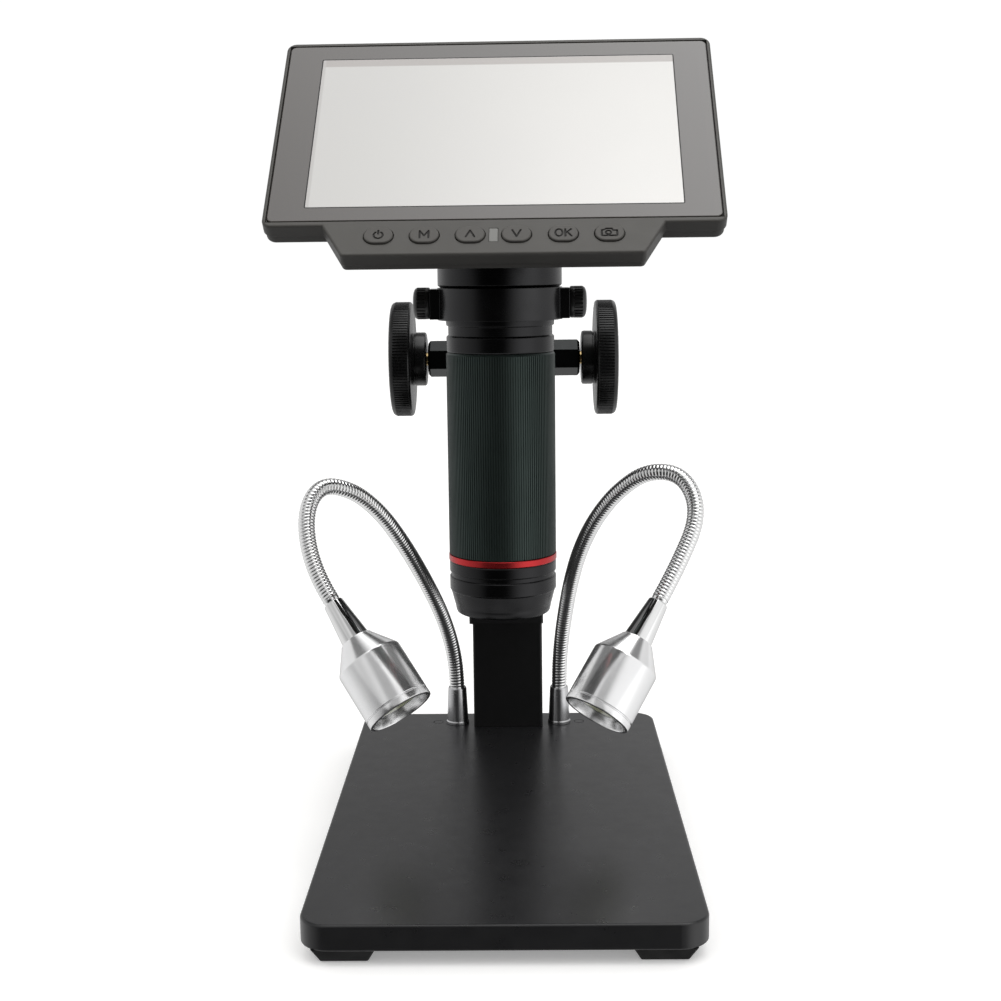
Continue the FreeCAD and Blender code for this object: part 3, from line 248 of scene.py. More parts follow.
def screen_material_painted_light():
    """Blank screen: pale, with painted light and shade: greyer to the left and towards the top as a painted reflection,
    a painted shadow strip under its top edge and a painted light strip at the left.
    """
    m, nt, p = new_mat("blank_screen_painted_light")
    tc = nt.nodes.new("ShaderNodeTexCoord")
    sep = nt.nodes.new("ShaderNodeSeparateXYZ")
    nt.links.new(tc.outputs["Object"], sep.inputs[0])
    # painted reflection: the screen colour greys to the left and towards the top
    side = remap(nt, sep.outputs["X"], -54 * MM, 54 * MM, 0.0, 1.0, True)
    high = remap(nt, sep.outputs["Y"], -30 * MM, 30 * MM, 0.0, 1.0)
    col = blend_col(nt, side, (0.63, 0.625, 0.61), (0.86, 0.85, 0.83))
    col = blend_col(nt, math2(nt, "MULTIPLY", high, 0.35), col, (0.60, 0.595, 0.58))
    # painted shadow: a dark strip under the top edge of the screen, the shade of the frame
    top = remap(nt, sep.outputs["Y"], 28.9 * MM, 29.5 * MM, 0.0, 1.0, True)
    col = blend_col(nt, math2(nt, "MULTIPLY", top, 0.85), col, (0.40, 0.37, 0.355))
    # painted light strip along the left edge of the screen, at the frame's inner edge
    left = remap(nt, sep.outputs["X"], -53.3 * MM, -52.8 * MM, 1.0, 0.0, True)
    col = blend_col(nt, math2(nt, "MULTIPLY", left, 0.75), col, (0.50, 0.485, 0.475))
    slow = noise(nt, tc.outputs["Object"], 22, 3)
    col = blend_col(nt, remap(nt, slow, 0.35, 0.65, 0.0, 0.08), col, (0.60, 0.60, 0.62))
    fine = noise(nt, tc.outputs["Object"], 5200, 1)
    nt.links.new(col, p.inputs["Base Color"])
    nt.links.new(remap(nt, fine, 0.3, 0.7, 0.20, 0.28), p.inputs["Roughness"])
    p.inputs["Coat Weight"].default_value = 0.6
    p.inputs["Coat Roughness"].default_value = 0.05
    return m


MAT["panel"] = screen_material_painted_light()


# ------------------------------------------------------------ mesh helpers
def add_object(name, bm, M, mat, angle=30.0):
    bmesh.ops.remove_doubles(bm, verts=bm.verts, dist=1e-7)
    bmesh.ops.recalc_face_normals(bm, faces=bm.faces)
    lim = math.radians(angle)
    for f in bm.faces:
        f.smooth = True
    for e in bm.edges:
        if len(e.link_faces) == 2:
            e.smooth = e.calc_face_angle(0.0) < lim
        else:
            e.smooth = False
    me = bpy.data.meshes.new(name)
    bm.to_mesh(me)
    bm.free()
    ob = bpy.data.objects.new(name, me)
    bpy.context.scene.collection.objects.link(ob)
    ob.matrix_world = M
    mats = mat if isinstance(mat, (list, tuple)) else [mat]
    for x in mats:
        me.materials.append(x)
    return ob


def lathe(name, prof, M, mat, seg=144, teeth=0, shape=(0.0, 0.44, 0.54, 0.90), angle=30.0, closed=False, slots=None):
    """Turned solid from (r, z[, depth]) in mm round local Z. With teeth, points that have a depth carry straight ribs."""
    bm = bmesh.new()
    if teeth:
        angs, low = [], []
        for t in range(teeth):
            for k, s in enumerate(shape):
                angs.append(2 * math.pi * (t + s) / teeth)
                low.append(1.0 if k >= 2 else 0.0)
    else:
        angs = [2 * math.pi * k / seg for k in range(seg)]
        low = [0.0] * seg
    rings = []
    for p in prof:
        r, z = p[0], p[1]
        d = p[2] if len(p) > 2 else 0.0
        if r < 1e-6:
            v = bm.verts.new((0, 0, z * MM))
            rings.append([v] * len(angs))
        else:
            rings.append([bm.verts.new(((r - d * w) * MM * math.cos(a), (r - d * w) * MM * math.sin(a), z * MM)) for a, w in zip(angs, low)])
    n = len(angs)
    pairs = [(k, k + 1) for k in range(len(rings) - 1)]
    if closed:
        pairs.append((len(rings) - 1, 0))
    for idx, (a, b) in enumerate(pairs):
        for j in range(n):
            vs = [rings[a][j], rings[a][(j + 1) % n], rings[b][(j + 1) % n], rings[b][j]]
            u = []
            for v in vs:
                if v not in u:
                    u.append(v)
            if len(u) >= 3:
                f = bm.faces.new(u)
                if slots:
                    f.material_index = slots[idx]
    return add_object(name, bm, M, mat, angle)


def ride(ob, body, stands_for=()):
    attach(ob, body)
    if stands_for:
        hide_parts(*stands_for)
    return ob


# ---------------------------------------------------------- optical barrel
ride(
    lathe(
        "ribbed_sleeve",
        [(16.06, 107.4), (16.9, 107.4), (17.15, 107.62), (17.3, 107.75, 0.26), (17.3, 171.55, 0.26), (17.22, 171.75), (16.8, 172.3), (16.06, 172.3),
         (16.06, 147.0), (16.75, 147.0), (16.75, 123.0), (16.06, 123.0)],
        NECK, MAT["sleeve"], teeth=137, shape=(0.0, 0.50, 0.60, 0.90), closed=True,
    ),
    "sleeve", ["focus_sleeve"],
)
ride(
    lathe(
        "red_band",
        [(16.06, 105.4), (17.33, 105.4), (17.45, 105.55), (17.45, 107.22), (17.33, 107.38), (16.06, 107.38)],
        NECK, MAT["red"], seg=192, closed=True,
    ),
    "sleeve", ["red_ring"],
)
ride(
    lathe(
        "objective_body",
        [(9.6, 88.1), (14.7, 88.1), (15.0, 88.3), (15.25, 88.75), (15.55, 90.3), (15.62, 90.75), (15.8, 91.25), (16.55, 94.2), (16.92, 95.55), (17.08, 95.72), (17.25, 95.95),
         (17.25, 99.95), (17.1, 100.15), (16.8, 100.3), (16.8, 101.55), (17.1, 101.7), (17.25, 101.9), (17.25, 104.9), (17.05, 105.28), (15.45, 105.28), (15.45, 98.3),
         (13.4, 98.3), (13.4, 92.4), (12.0, 92.4), (12.0, 89.4), (9.6, 89.4)],
        NECK, MAT["anodised"], seg=192, closed=True, angle=24,
    ),
    "microscope", ["objective_housing"],
)
ride(
    lathe(
        "barrel_body",
        [(14.5, 98.5), (15.4, 98.5), (15.4, 105.4), (16.0, 105.4), (16.0, 172.4), (16.6, 172.4), (16.95, 172.5), (17.1, 172.8), (17.1, 177.15), (16.95, 177.4), (16.5, 177.7), (16.5, 180.5),
         (17.0, 180.75), (17.08, 181.0), (17.17, 182.2), (17.17, 192.5), (14.0, 192.5), (14.0, 205.0), (12.5, 205.0), (12.5, 169.5), (14.5, 169.5)],
        NECK, MAT["anodised"], seg=192, closed=True, angle=24,
    ),
    "microscope", ["barrel_tube"],
)
ride(
    lathe("objective_front_lens", [(0, 90.6), (11.9, 90.6), (11.9, 89.7), (10.5, 89.62), (7.5, 89.5), (4, 89.46), (0, 89.45)], NECK, MAT["objective_glass"], seg=128),
    "microscope", ["front_glass"],
)

# ------------------------------------------------------------- knobs, screws
for side, s in (("left", -1), ("right", 1)):
    K = shift(0, 72, 163.5) @ Matrix.Rotation(math.radians(90 * s), 4, "Y")
    ride(
        lathe(
            side + "_knob_body",
            [(0, 40.55), (2.52, 40.55), (2.52, 29.72), (9.1, 29.72), (9.6, 29.8), (10.1, 30.1), (10.25, 30.5), (10.25, 33.75), (10.12, 33.85), (9.85, 33.95), (9.85, 34.4), (10.1, 34.5),
             (10.4, 34.85), (10.6, 34.92), (20.6, 34.92), (21.2, 35.05), (21.62, 35.35), (21.86, 35.75, 0.0), (21.9, 35.95, 0.36), (21.9, 41.2, 0.36), (21.84, 41.4, 0.0), (21.6, 42.05),
             (21.1, 42.6), (20.2, 42.95), (19.4, 43.0), (17.6, 43.0), (17.2, 42.8), (16.6, 41.7), (16.2, 41.6), (6.6, 41.6), (6.2, 41.7), (5.8, 42.3), (5.4, 42.4), (0, 42.4)],
            K, MAT["knob"], teeth=120, shape=(0.0, 0.40, 0.56, 0.84), angle=24,
        ),
        "focus_shaft", [side + "_focus_knob"],
    )
    T = shift(0, -28, 187.7) @ Matrix.Rotation(math.radians(90 * s), 4, "Y")
    ride(
        lathe(
            side + "_thumb_screw_body",
            [(0, 18.35), (1.6, 18.35), (1.95, 18.7), (1.95, 22.05), (4.55, 22.05), (4.85, 22.2), (4.98, 22.5), (5.0, 23.1), (4.98, 23.3, 0.0), (5.0, 23.5, 0.42), (5.0, 25.9, 0.42),
             (4.95, 26.1, 0.0), (4.6, 26.68), (4.2, 26.95), (3.6, 27.18), (2.9, 27.32), (2.0, 27.39), (0, 27.4)],
            T, MAT["thumb"], teeth=26, shape=(0.0, 0.46, 0.58, 0.88), angle=26,
        ),
        side + "_screw", [side + "_thumb_screw"],
    )


# ------------------------------------------------------------ screen and glass
def round_rect(x0, y0, x1, y1, r, k=8):
    pts = []
    for cx, cy, a0 in ((x1 - r, y1 - r, 0), (x0 + r, y1 - r, 90), (x0 + r, y0 + r, 180), (x1 - r, y0 + r, 270)):
        for j in range(k + 1):
            a = math.radians(a0 + 90.0 * j / k)
            pts.append((cx + r * math.cos(a), cy + r * math.sin(a)))
    return pts


def stack(name, loops, mats, M, indices, cap_top=0, cap_bottom=0, angle=30.0):
    """Loops of equal length, joined one to the next; each loop is (points, z) in mm."""
    bm = bmesh.new()
    rings = [[bm.verts.new((x * MM, y * MM, z * MM)) for x, y in pts] for pts, z in loops]
    n = len(rings[0])
    for k in range(len(rings) - 1):
        for j in range(n):
            f = bm.faces.new([rings[k][j], rings[k][(j + 1) % n], rings[k + 1][(j + 1) % n], rings[k + 1][j]])
            f.material_index = indices[k]
    f = bm.faces.new(rings[0])
    f.material_index = cap_bottom
    f = bm.faces.new(rings[-1])
    f.material_index = cap_top
    return add_object(name, bm, M, mats, angle)


ride(
    stack(
        "screen_front",
        [(round_rect(-64.6, -37.95, 64.6, 38.95, 1.8), -1.1), (round_rect(-64.65, -38.0, 64.65, 39.0, 1.8), -1.05), (round_rect(-64.65, -38.0, 64.65, 39.0, 1.8), -0.3),
         (round_rect(-64.58, -37.93, 64.58, 38.93, 1.77), -0.06), (round_rect(-64.4, -37.75, 64.4, 38.75, 1.65), 0.0), (round_rect(-64.1, -37.45, 64.1, 38.45, 1.5), 0.0),
         (round_rect(-54.35, -32.75, 54.35, 32.75, 0.6), 0.0), (round_rect(-54.0, -32.4, 54.0, 32.4, 0.3), 0.0)],
        [MAT["border"], MAT["panel"], MAT["inside"]], HEAD, [0, 0, 0, 0, 0, 0, 2], cap_top=1, cap_bottom=0, angle=6.0,
    ),
    "microscope", ["screen_glass"],
)


# ----------------------------------------------------------------- buttons
def arc(cx, cy, rx, ry, a0, a1, n=28):
    return [(cx + rx * math.cos(math.radians(a0 + (a1 - a0) * k / n)), cy + ry * math.sin(math.radians(a0 + (a1 - a0) * k / n))) for k in range(n + 1)]


MARKS = {
    "power": [arc(0, -0.1, 1.30, 1.30, 125, 415), [(0, 0.35), (0, 1.65)]],
    "menu": [[(-1.25, -1.35), (-1.25, 1.35), (0, -0.55), (1.25, 1.35), (1.25, -1.35)]],
    "up": [[(-1.2, -1.15), (0, 1.3), (1.2, -1.15)]],
    "down": [[(-1.2, 1.25), (0, -1.3), (1.2, 1.25)]],
    "ok": [arc(-1.25, 0, 1.0, 1.35, 0, 360), [(0.55, -1.35), (0.55, 1.35)], [(2.15, 1.35), (0.6, -0.25)], [(1.05, 0.25), (2.25, -1.35)]],
    "capture": [[(-2.1, -1.35), (2.0, -1.35), (2.1, -1.25), (2.1, 0.65), (1.0, 0.65), (0.65, 1.35), (-1.0, 1.35), (-1.45, 0.95), (-2.1, 0.85), (-2.2, 0.7), (-2.2, -1.25), (-2.1, -1.35)],
                arc(-0.35, -0.15, 0.72, 0.72, 0, 360)],
}


def stroke_distance(P, lines):
    best = np.full(len(P), 1e9)
    for line in lines:
        for a, b in zip(line[:-1], line[1:]):
            a, b = np.array(a), np.array(b)
            ab = b - a
            t = np.clip(((P - a) @ ab) / max(1e-12, ab @ ab), 0, 1)
            best = np.minimum(best, np.linalg.norm(P - (a + t[:, None] * ab), axis=1))
    return best


def button(name, lines):
    half, rad, top, soft = 1.1, 3.05, 0.6, 0.42
    arcs, line = 64, 28
    dirs, base = [], []
    for k in range(arcs):
        a = -math.pi / 2 + math.pi * k / arcs
        dirs.append((math.cos(a), math.sin(a)))
        base.append(half)
    for k in range(line):
        dirs.append((0.0, 1.0))
        base.append(half - 2 * half * k / line)
    for k in range(arcs):
        a = math.pi / 2 + math.pi * k / arcs
        dirs.append((math.cos(a), math.sin(a)))
        base.append(-half)
    for k in range(line):
        dirs.append((0.0, -1.0))
        base.append(-half + 2 * half * k / line)
    dirs, base = np.array(dirs), np.array(base)
    n = len(base)
    rings = []
    # flange and wall, from the hidden underside up
    for inset, z in ((2.9, -2.5), (-0.62, -2.5), (-0.68, -2.45), (-0.68, -1.85), (-0.62, -1.8), (0.0, -1.8), (0.0, top - soft)):
        q = np.column_stack([base + dirs[:, 0] * (rad - inset), dirs[:, 1] * (rad - inset)])
        rings.append((q, np.full(n, z), np.zeros(n)))
    inner = list(0.5 * soft * (1 - np.cos(np.linspace(0, math.pi / 2, 7)[1:])) * 2) + list(np.linspace(soft, rad, 40)[1:])
    for inset in inner:
        q = np.column_stack([base + dirs[:, 0] * (rad - inset), dirs[:, 1] * (rad - inset)])
        if inset < soft:
            z = top - soft + math.sqrt(max(0.0, soft ** 2 - (soft - inset) ** 2))
        else:
            z = top
        d = stroke_distance(q, lines)
        t = np.clip((d - 0.20) / 0.09, 0, 1)
        depth = 0.30 * (1 - t * t * (3 - 2 * t))
        rings.append((q, z - depth, depth))
    bm = bmesh.new()
    vr = [[bm.verts.new((x * MM, y * MM, z * MM)) for (x, y), z in zip(q, zz)] for q, zz, dd in rings]
    for k in range(len(vr) - 1):
        for j in range(n):
            a, b, c, d = vr[k][j], vr[k][(j + 1) % n], vr[k + 1][(j + 1) % n], vr[k + 1][j]
            f = bm.faces.new([a, b, c, d])
            # faces deep in the engraved grooves take the darker painted-shade colour
            if rings[k][2][j] + rings[k + 1][2][j] > 0.30:
                f.material_index = 1
    bm.faces.new(vr[0])
    bmesh.ops.remove_doubles(bm, verts=bm.verts, dist=2e-7)
    return bm


for name, u in (("power", -32.2), ("menu", -19.3), ("up", -6.4), ("down", 6.6), ("ok", 19.7), ("capture", 32.6)):
    ob = add_object(name + "_key", button(name, MARKS[name]), HEAD @ shift(u, -44.3, 0), [MAT["button"], MAT["mark_painted_shade"]], 50)
    ride(ob, name + "_button", [name + "_button"])

ride(
    stack(
        "indicator_lens",
        [(round_rect(-1.1, -46.9, 1.4, -41.7, 0.25, 4), -1.9), (round_rect(-1.1, -46.9, 1.4, -41.7, 0.25, 4), -0.12), (round_rect(-1.0, -46.8, 1.3, -41.8, 0.2, 4), 0.0)],
        [MAT["indicator"]], HEAD, [0, 0],
    ),
    "microscope", ["indicator_window"],
)


# ------------------------------------------------------------- lamps and necks
def route(pts):
    """Points read from the NURBS spline through these control points (mm), as an array in metres."""
    cu = bpy.data.curves.new("route", "CURVE")
    cu.dimensions = "3D"
    cu.resolution_u = 40
    sp = cu.splines.new("NURBS")
    sp.points.add(len(pts) - 1)
    for p, c in zip(sp.points, pts):
        p.co = (c[0] * MM, c[1] * MM, c[2] * MM, 1)
    sp.order_u = 3
    sp.use_endpoint_u = True
    ob = bpy.data.objects.new("route", cu)
    bpy.context.scene.collection.objects.link(ob)
    me = bpy.data.meshes.new_from_object(ob)
    co = np.array([v.co[:] for v in me.vertices], float)
    bpy.data.objects.remove(ob)
    bpy.data.curves.remove(cu)
    bpy.data.meshes.remove(me)
    return co


class Path:
    def __init__(self, co):
        keep = [0]
        for k in range(1, len(co)):
            if np.linalg.norm(co[k] - co[keep[-1]]) > 1e-6:
                keep.append(k)
        co = co[keep]
        d = np.linalg.norm(np.diff(co, axis=0), axis=1)
        s = np.concatenate([[0], np.cumsum(d)])
        self.length = s[-1]
        self.s = np.linspace(0, self.length, 1400)
        self.c = np.column_stack([np.interp(self.s, s, co[:, k]) for k in range(3)])
        for _ in range(6):
            self.c[1:-1] = (self.c[:-2] + 2 * self.c[1:-1] + self.c[2:]) / 4
        t = np.gradient(self.c, axis=0)
        t /= np.linalg.norm(t, axis=1)[:, None]
        self.t = t
        n = np.zeros_like(t)
        ref = np.array([1.0, 0, 0])
        n[0] = ref - t[0] * (ref @ t[0])
        n[0] /= np.linalg.norm(n[0])
        for k in range(1, len(t)):
            v = n[k - 1] - t[k] * (n[k - 1] @ t[k])
            n[k] = v / np.linalg.norm(v)
        self.n = n
        self.b = np.cross(t, n)

    def at(self, s):
        s = np.clip(s, 0, self.length)
        f = [np.column_stack([np.interp(s, self.s, a[:, k]) for k in range(3)]) for a in (self.c, self.n, self.b)]
        return f


def wound_tube(name, path, s0, s1, mat, R=3.05, groove=0.33, pitch=1.25, M=30, K=7, end_ball=False):
    """A tube wound from one round wire: a continuous helical strip whose section is one bead per pitch."""
    R, groove, p = R * MM, groove * MM, pitch * MM
    k0 = math.floor((s0 - p) / p * M)
    k1 = math.ceil((s1 + p) / p * M)
    x = (np.arange(K) + 0.5) / K
    drop = groove * (1 - np.sqrt(np.clip(1 - (2 * x - 1) ** 2, 0, 1)))
    kk = np.arange(k0, k1 + M + 1)
    phi = 2 * math.pi * kk / M
    S = (p * kk / M)[:, None] + p * (np.arange(K) + 0.5)[None, :] / K
    A = np.repeat(phi[:, None], K, 1)
    rr = np.repeat((R - drop)[None, :], len(kk), 0)
    out = (S < s0) | (S > s1)
    Sc = np.clip(S, s0, s1)
    c, n, b = path.at(Sc.ravel())
    a = A.ravel()[:, None]
    r = rr.ravel()[:, None]
    V = c + r * (np.cos(a) * n + np.sin(a) * b)
    N = len(kk)
    bm = bmesh.new()
    vs = [bm.verts.new(v) for v in V]
    for i in range(N - 1):
        for j in range(K):
            if j < K - 1:
                q = (i * K + j, (i + 1) * K + j, (i + 1) * K + j + 1, i * K + j + 1)
                q_out = (out[i, j], out[i + 1, j], out[i + 1, j + 1], out[i, j + 1])
            else:
                if i + 1 + M >= N:
                    continue
                q = (i * K + j, (i + 1) * K + j, (i + 1 + M) * K, (i + M) * K)
                q_out = (out[i, j], out[i + 1, j], out[i + 1 + M, 0], out[i + M, 0])
            if all(q_out):
                continue
            bm.faces.new([vs[k] for k in q])
    loose = [v for v in bm.verts if not v.link_faces]
    bmesh.ops.delete(bm, geom=loose, context="VERTS")
    return bm


def neck_ball(bm, c, ax, r):
    """Half ball that closes the end of the tube inside the lamp's seat."""
    q = Vector(ax).normalized().to_track_quat("Z", "Y").to_matrix().to_4x4()
    M = Matrix.Translation(Vector(c)) @ q
    bmesh.ops.create_uvsphere(bm, u_segments=32, v_segments=16, radius=r, matrix=M)


for side in ("left", "right"):
    L = LAMPS[side]
    P = np.array(L["pts"]) * MM
    ax = Vector(L["axis"]).normalized()
    path = Path(route(L["pts"]))
    u = (P[5] - P[4]) / np.linalg.norm(P[5] - P[4])
    k_cut = int(np.argmin(np.linalg.norm(path.c - (P[8] if side == "left" else P[9]), axis=1)))
    s_cut = path.s[k_cut]
    root = add_object(side + "_gooseneck_root", wound_tube("root", path, 0.0, s_cut, MAT["chrome"]), Matrix.Identity(4), MAT["chrome"], 180)
    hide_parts(side + "_gooseneck_lower")
    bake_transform(root)
    bm = wound_tube("loop", path, s_cut, path.length, MAT["chrome"])
    neck_ball(bm, P[-1], ax, 2.95 * MM)
    loop = add_object(side + "_gooseneck_loop", bm, Matrix.Identity(4), MAT["chrome"], 180)
    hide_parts(side + "_gooseneck_upper")
    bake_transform(loop)

    A = along(L["axis"], L["pts"][-1])
    lamp = side + "_lamp"
    ride(
        lathe(
            side + "_neck_cone",
            [(0, 3.2), (1.6, 2.85), (2.5, 2.0), (2.72, 1.5), (3.2, 1.5), (3.4, 1.6), (3.6, 1.85), (3.68, 2.4), (5.17, 17.3), (5.17, 18.8), (2.4, 18.8), (2.4, 6.0), (0, 6.0)],
            A, MAT["polished"], seg=128, angle=28,
        ),
        lamp, [side + "_lamp_neck"],
    )
    ride(
        lathe(
            side + "_lamp_body",
            [(5.24, 17.25), (5.75, 17.3), (6.0, 17.5), (6.2, 17.95), (11.75, 25.95), (11.92, 26.3), (12.0, 26.75), (12.0, 44.55), (11.93, 44.66), (11.74, 44.74), (11.72, 45.0), (11.9, 45.12), (12.0, 45.25),
             (12.0, 47.1), (11.92, 47.4), (11.7, 47.58), (11.0, 47.6), (10.86, 47.4), (10.32, 44.3), (10.32, 34.0), (5.24, 34.0)],
            A, MAT["turned"], seg=160, angle=20, closed=True,
        ),
        lamp, [side + "_lamp_housing"],
    )
    ride(
        lathe(side + "_lamp_glass", [(0, 41.0), (3.0, 41.15), (6.0, 41.6), (8.4, 42.35), (10.22, 43.2), (10.22, 43.85), (10.1, 44.0), (0, 44.0)], A, MAT["glass"], seg=96, angle=25),
        lamp, [side + "_lamp_lens"],
    )
    sx = -20.9 if side == "left" else 20.9
    ride(
        lathe(
            side + "_socket_body",
            [(1.5, 8.9), (3.0, 8.9), (3.0, 12.5), (4.5, 12.5), (4.65, 12.65), (4.65, 13.6), (4.5, 13.85), (4.35, 14.1), (3.72, 27.2), (3.6, 27.75), (3.5, 27.9), (3.11, 27.9), (3.11, 19.9), (1.5, 19.9)],
            shift(sx, 87.3, 0), MAT["socket"], seg=96, angle=28, closed=True,
        ),
        "stand", [side + "_lamp_socket"],
    )

# ------------------------------------------------- finishes of the CAD nodes
LOOK = {
    "base_plate": "powder", "base_cover": "powder", "column": "column", "guide_block": "column", "slide_bar": "column",
    "clamp_ring": "anodised_plain", "neck_collar": "anodised", "left_shaft_bearing": "hex", "right_shaft_bearing": "hex",
    "rubber_feet": "rubber", "front_shell": "shell", "rear_shell": "shell", "pinion_shaft": "brass",
    "lens_cell": "anodised", "focus_rack": "steel", "left_clamp_tip": "nylon", "right_clamp_tip": "nylon",
    "moving_lens": "glass", "lcd_module": "inside", "side_sockets": "steel", "power_inlet": "steel",
}
by_slot = {
    "steel_screw": "steel", "board_green": "board", "led_board": "led", "lens_glass": "glass", "black_anodised": "anodised", "nylon": "nylon",
    "rubber": "rubber", "black_metal": "powder", "shell_plastic": "shell", "brass": "brass", "knob_black": "knob", "screen_panel": "panel",
    "screen_glass": "border", "ribbed_sleeve": "sleeve", "red_anodised": "red", "button_plastic": "button", "gooseneck_steel": "chrome",
    "turned_aluminium": "turned", "indicator": "indicator",
}
slot_of = {s["node"]: s.get("material_slot") for s in frame["record"]["subparts"]}
for n, o in nodes.items():
    m = MAT[LOOK.get(n) or by_slot.get(slot_of.get(n), "powder")]
    if not o.material_slots:
        o.data.materials.append(m)
    for sl in o.material_slots:
        sl.material = m

# ------------------------------------------------------------------- studio
bm = bmesh.new()
bmesh.ops.create_circle(bm, cap_ends=True, segments=96, radius=6.0)
floor = add_object("floor", bm, Matrix.Translation((0, 0, -0.0004)), surface("pale_floor", (0.90, 0.90, 0.90), rough=0.7, vary=0.01, mottling=3, grain=(300, 0.02, 0.02), spec=0.2))
floor.visible_diffuse = False
floor.visible_glossy = False
floor.data.materials[0].node_tree.nodes["Principled BSDF"].inputs["Emission Color"].default_value = (0.9, 0.9, 0.9, 1)
floor.data.materials[0].node_tree.nodes["Principled BSDF"].inputs["Emission Strength"].default_value = 0.30


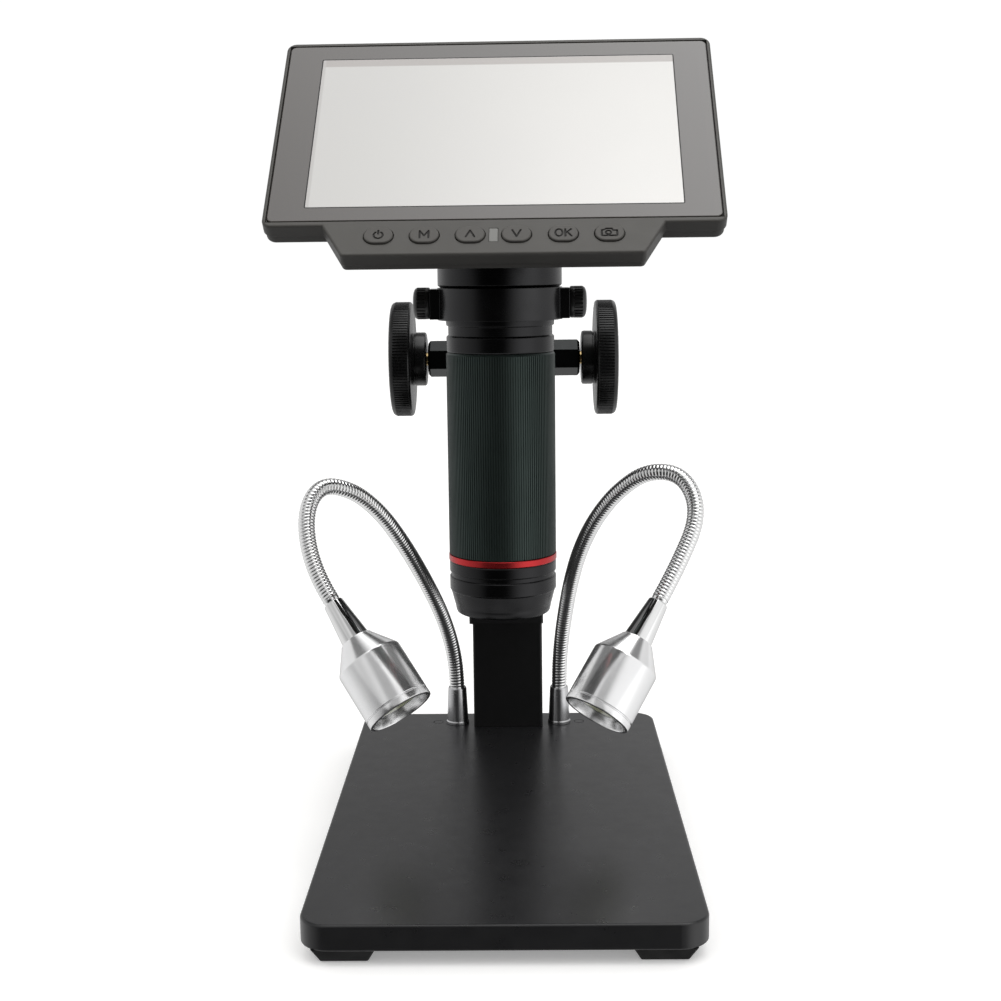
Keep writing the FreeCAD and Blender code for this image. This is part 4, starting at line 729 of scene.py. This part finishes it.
def studio_world():
    w = bpy.data.worlds.new("studio")
    bpy.context.scene.world = w
    w.use_nodes = True
    nt = w.node_tree
    nt.nodes.clear()
    out = nt.nodes.new("ShaderNodeOutputWorld")
    bg = nt.nodes.new("ShaderNodeBackground")
    nt.links.new(bg.outputs[0], out.inputs["Surface"])
    tc = nt.nodes.new("ShaderNodeTexCoord")
    sep = nt.nodes.new("ShaderNodeSeparateXYZ")
    nt.links.new(tc.outputs["Generated"], sep.inputs[0])
    x, y, z = sep.outputs["X"], sep.outputs["Y"], sep.outputs["Z"]
    az = math2(nt, "ARCTAN2", x, math2(nt, "MULTIPLY", y, -1.0))
    az = math2(nt, "DEGREES", az)
    el = math2(nt, "DEGREES", math2(nt, "ARCSINE", math2(nt, "MINIMUM", math2(nt, "MAXIMUM", z, -0.9999), 0.9999)))
    turn = remap(nt, az, -180, 180, 0.0, 1.0)

    def around(stops):
        ramp = nt.nodes.new("ShaderNodeValToRGB")
        cr = ramp.color_ramp
        cr.elements[0].position = 0.0
        cr.elements[1].position = 1.0
        for k, (a, v) in enumerate(stops):
            if k == 0:
                e = cr.elements[0]
            elif k == len(stops) - 1:
                e = cr.elements[-1]
            else:
                e = cr.elements.new((a + 180) / 360)
            e.color = (v, v, v, 1)
        nt.links.new(turn, ramp.inputs["Fac"])
        return ramp.outputs["Color"]

    low = around([(-180, 0.55), (-155, 0.60), (-135, 0.85), (-110, 0.90), (-88, 0.80), (-70, 0.58), (-50, 0.36), (-40, 0.10), (-34, 0.03), (10, 0.03), (18, 0.22), (30, 0.72), (44, 1.25), (66, 1.40),
                  (84, 1.05), (100, 0.95), (120, 0.90), (138, 0.80), (155, 0.60), (180, 0.55)])
    upper = around([(-180, 0.45), (-155, 0.45), (-138, 0.75), (-118, 0.85), (-90, 0.80), (-72, 0.72), (-58, 0.68), (-46, 0.58), (-36, 0.72), (-30, 0.80), (-26, 0.66), (-20, 0.42), (10, 0.42), (18, 0.80),
                    (28, 0.98), (56, 1.05), (76, 0.95), (104, 0.80), (122, 0.70), (138, 0.55), (150, 0.65), (165, 0.75), (180, 0.45)])
    p1 = remap(nt, math2(nt, "ABSOLUTE", math2(nt, "ADD", az, 4.0)), 14, 22, 1.0, 0.0, True)
    p2 = remap(nt, el, 14, 24, 1.0, 0.0, True)
    upper = blend_col(nt, math2(nt, "MULTIPLY", p1, p2), upper, (0.04, 0.04, 0.04))
    col = blend_col(nt, remap(nt, el, 5, 14, 0.0, 1.0, True), low, upper)
    col = blend_col(nt, remap(nt, el, -42, -32, 1.0, 0.0, True), col, (0.86, 0.86, 0.86))
    # the upper side walls are dim, the front corners above are bright
    walls = remap(nt, math2(nt, "ABSOLUTE", az), 74, 86, 0.0, 1.0, True)
    high = remap(nt, el, 32, 42, 0.0, 1.0, True)
    col = blend_col(nt, math2(nt, "MULTIPLY", walls, high), col, (0.16, 0.16, 0.16))
    top = math2(nt, "ADD", math2(nt, "MULTIPLY", x, 3.2), 2.0)
    top = math2(nt, "MAXIMUM", math2(nt, "MINIMUM", top, 3.0), 0.7)
    t = remap(nt, el, 56, 66, 0.0, 1.0, True)
    comb = nt.nodes.new("ShaderNodeCombineColor")
    for k in range(3):
        nt.links.new(top, comb.inputs[k])
    glossy = blend_col(nt, t, col, comb.outputs[0])
    up = remap(nt, z, -0.15, 0.85, 0.0, 1.0, True)
    diffuse = blend_col(nt, up, (0.05, 0.05, 0.052), (1.16, 1.15, 1.13))
    lp = nt.nodes.new("ShaderNodeLightPath")
    mixed = blend_col(nt, lp.outputs["Is Diffuse Ray"], glossy, diffuse)
    final = blend_col(nt, lp.outputs["Is Camera Ray"], mixed, (1.02, 1.02, 1.02))
    nt.links.new(final, bg.inputs["Color"])
    bg.inputs["Strength"].default_value = 1.0


studio_world()


def area(name, loc, target, size, power, glossy=True):
    li = bpy.data.lights.new(name, "AREA")
    li.shape = "SQUARE"
    li.size = size
    li.energy = power
    ob = bpy.data.objects.new(name, li)
    bpy.context.scene.collection.objects.link(ob)
    ob.location = loc
    ob.rotation_mode = "QUATERNION"
    ob.rotation_quaternion = (Vector(target) - Vector(loc)).to_track_quat("-Z", "Y")
    ob.visible_camera = False
    ob.visible_glossy = glossy
    return ob


area("key", (0.45, -0.45, 1.10), (0, 0, 0.15), 0.8, 2.2, False)
area("fill", (-0.8, -0.3, 0.9), (0, 0, 0.15), 0.8, 0.6, False)

# ------------------------------------------------------------------- camera
psi, th, rho = math.radians(0.833), math.radians(9.342), math.radians(-0.685)
fwd = Vector((-math.sin(psi) * math.cos(th), math.cos(psi) * math.cos(th), -math.sin(th)))
right = Vector((math.cos(psi), math.sin(psi), 0.0))
up = right.cross(fwd)
r2 = math.cos(rho) * right + math.sin(rho) * up
u2 = -math.sin(rho) * right + math.cos(rho) * up
cam_data = bpy.data.cameras.new("camera")
cam_data.sensor_width = 36.0
cam_data.lens = 52.88
cam_data.clip_start = 0.01
cam_data.clip_end = 50.0
cam = bpy.data.objects.new("camera", cam_data)
bpy.context.scene.collection.objects.link(cam)
cam.matrix_world = Matrix(
    (
        (r2.x, u2.x, -fwd.x, 0.00626),
        (r2.y, u2.y, -fwd.y, -0.49703),
        (r2.z, u2.z, -fwd.z, 0.20143),
        (0, 0, 0, 1),
    )
)
bpy.context.scene.camera = cam
bpy.context.scene.view_settings.view_transform = "Standard"
bpy.context.scene.view_settings.look = "None"
bpy.context.scene.view_settings.exposure = 0.0
bpy.context.scene.view_settings.gamma = 1.0
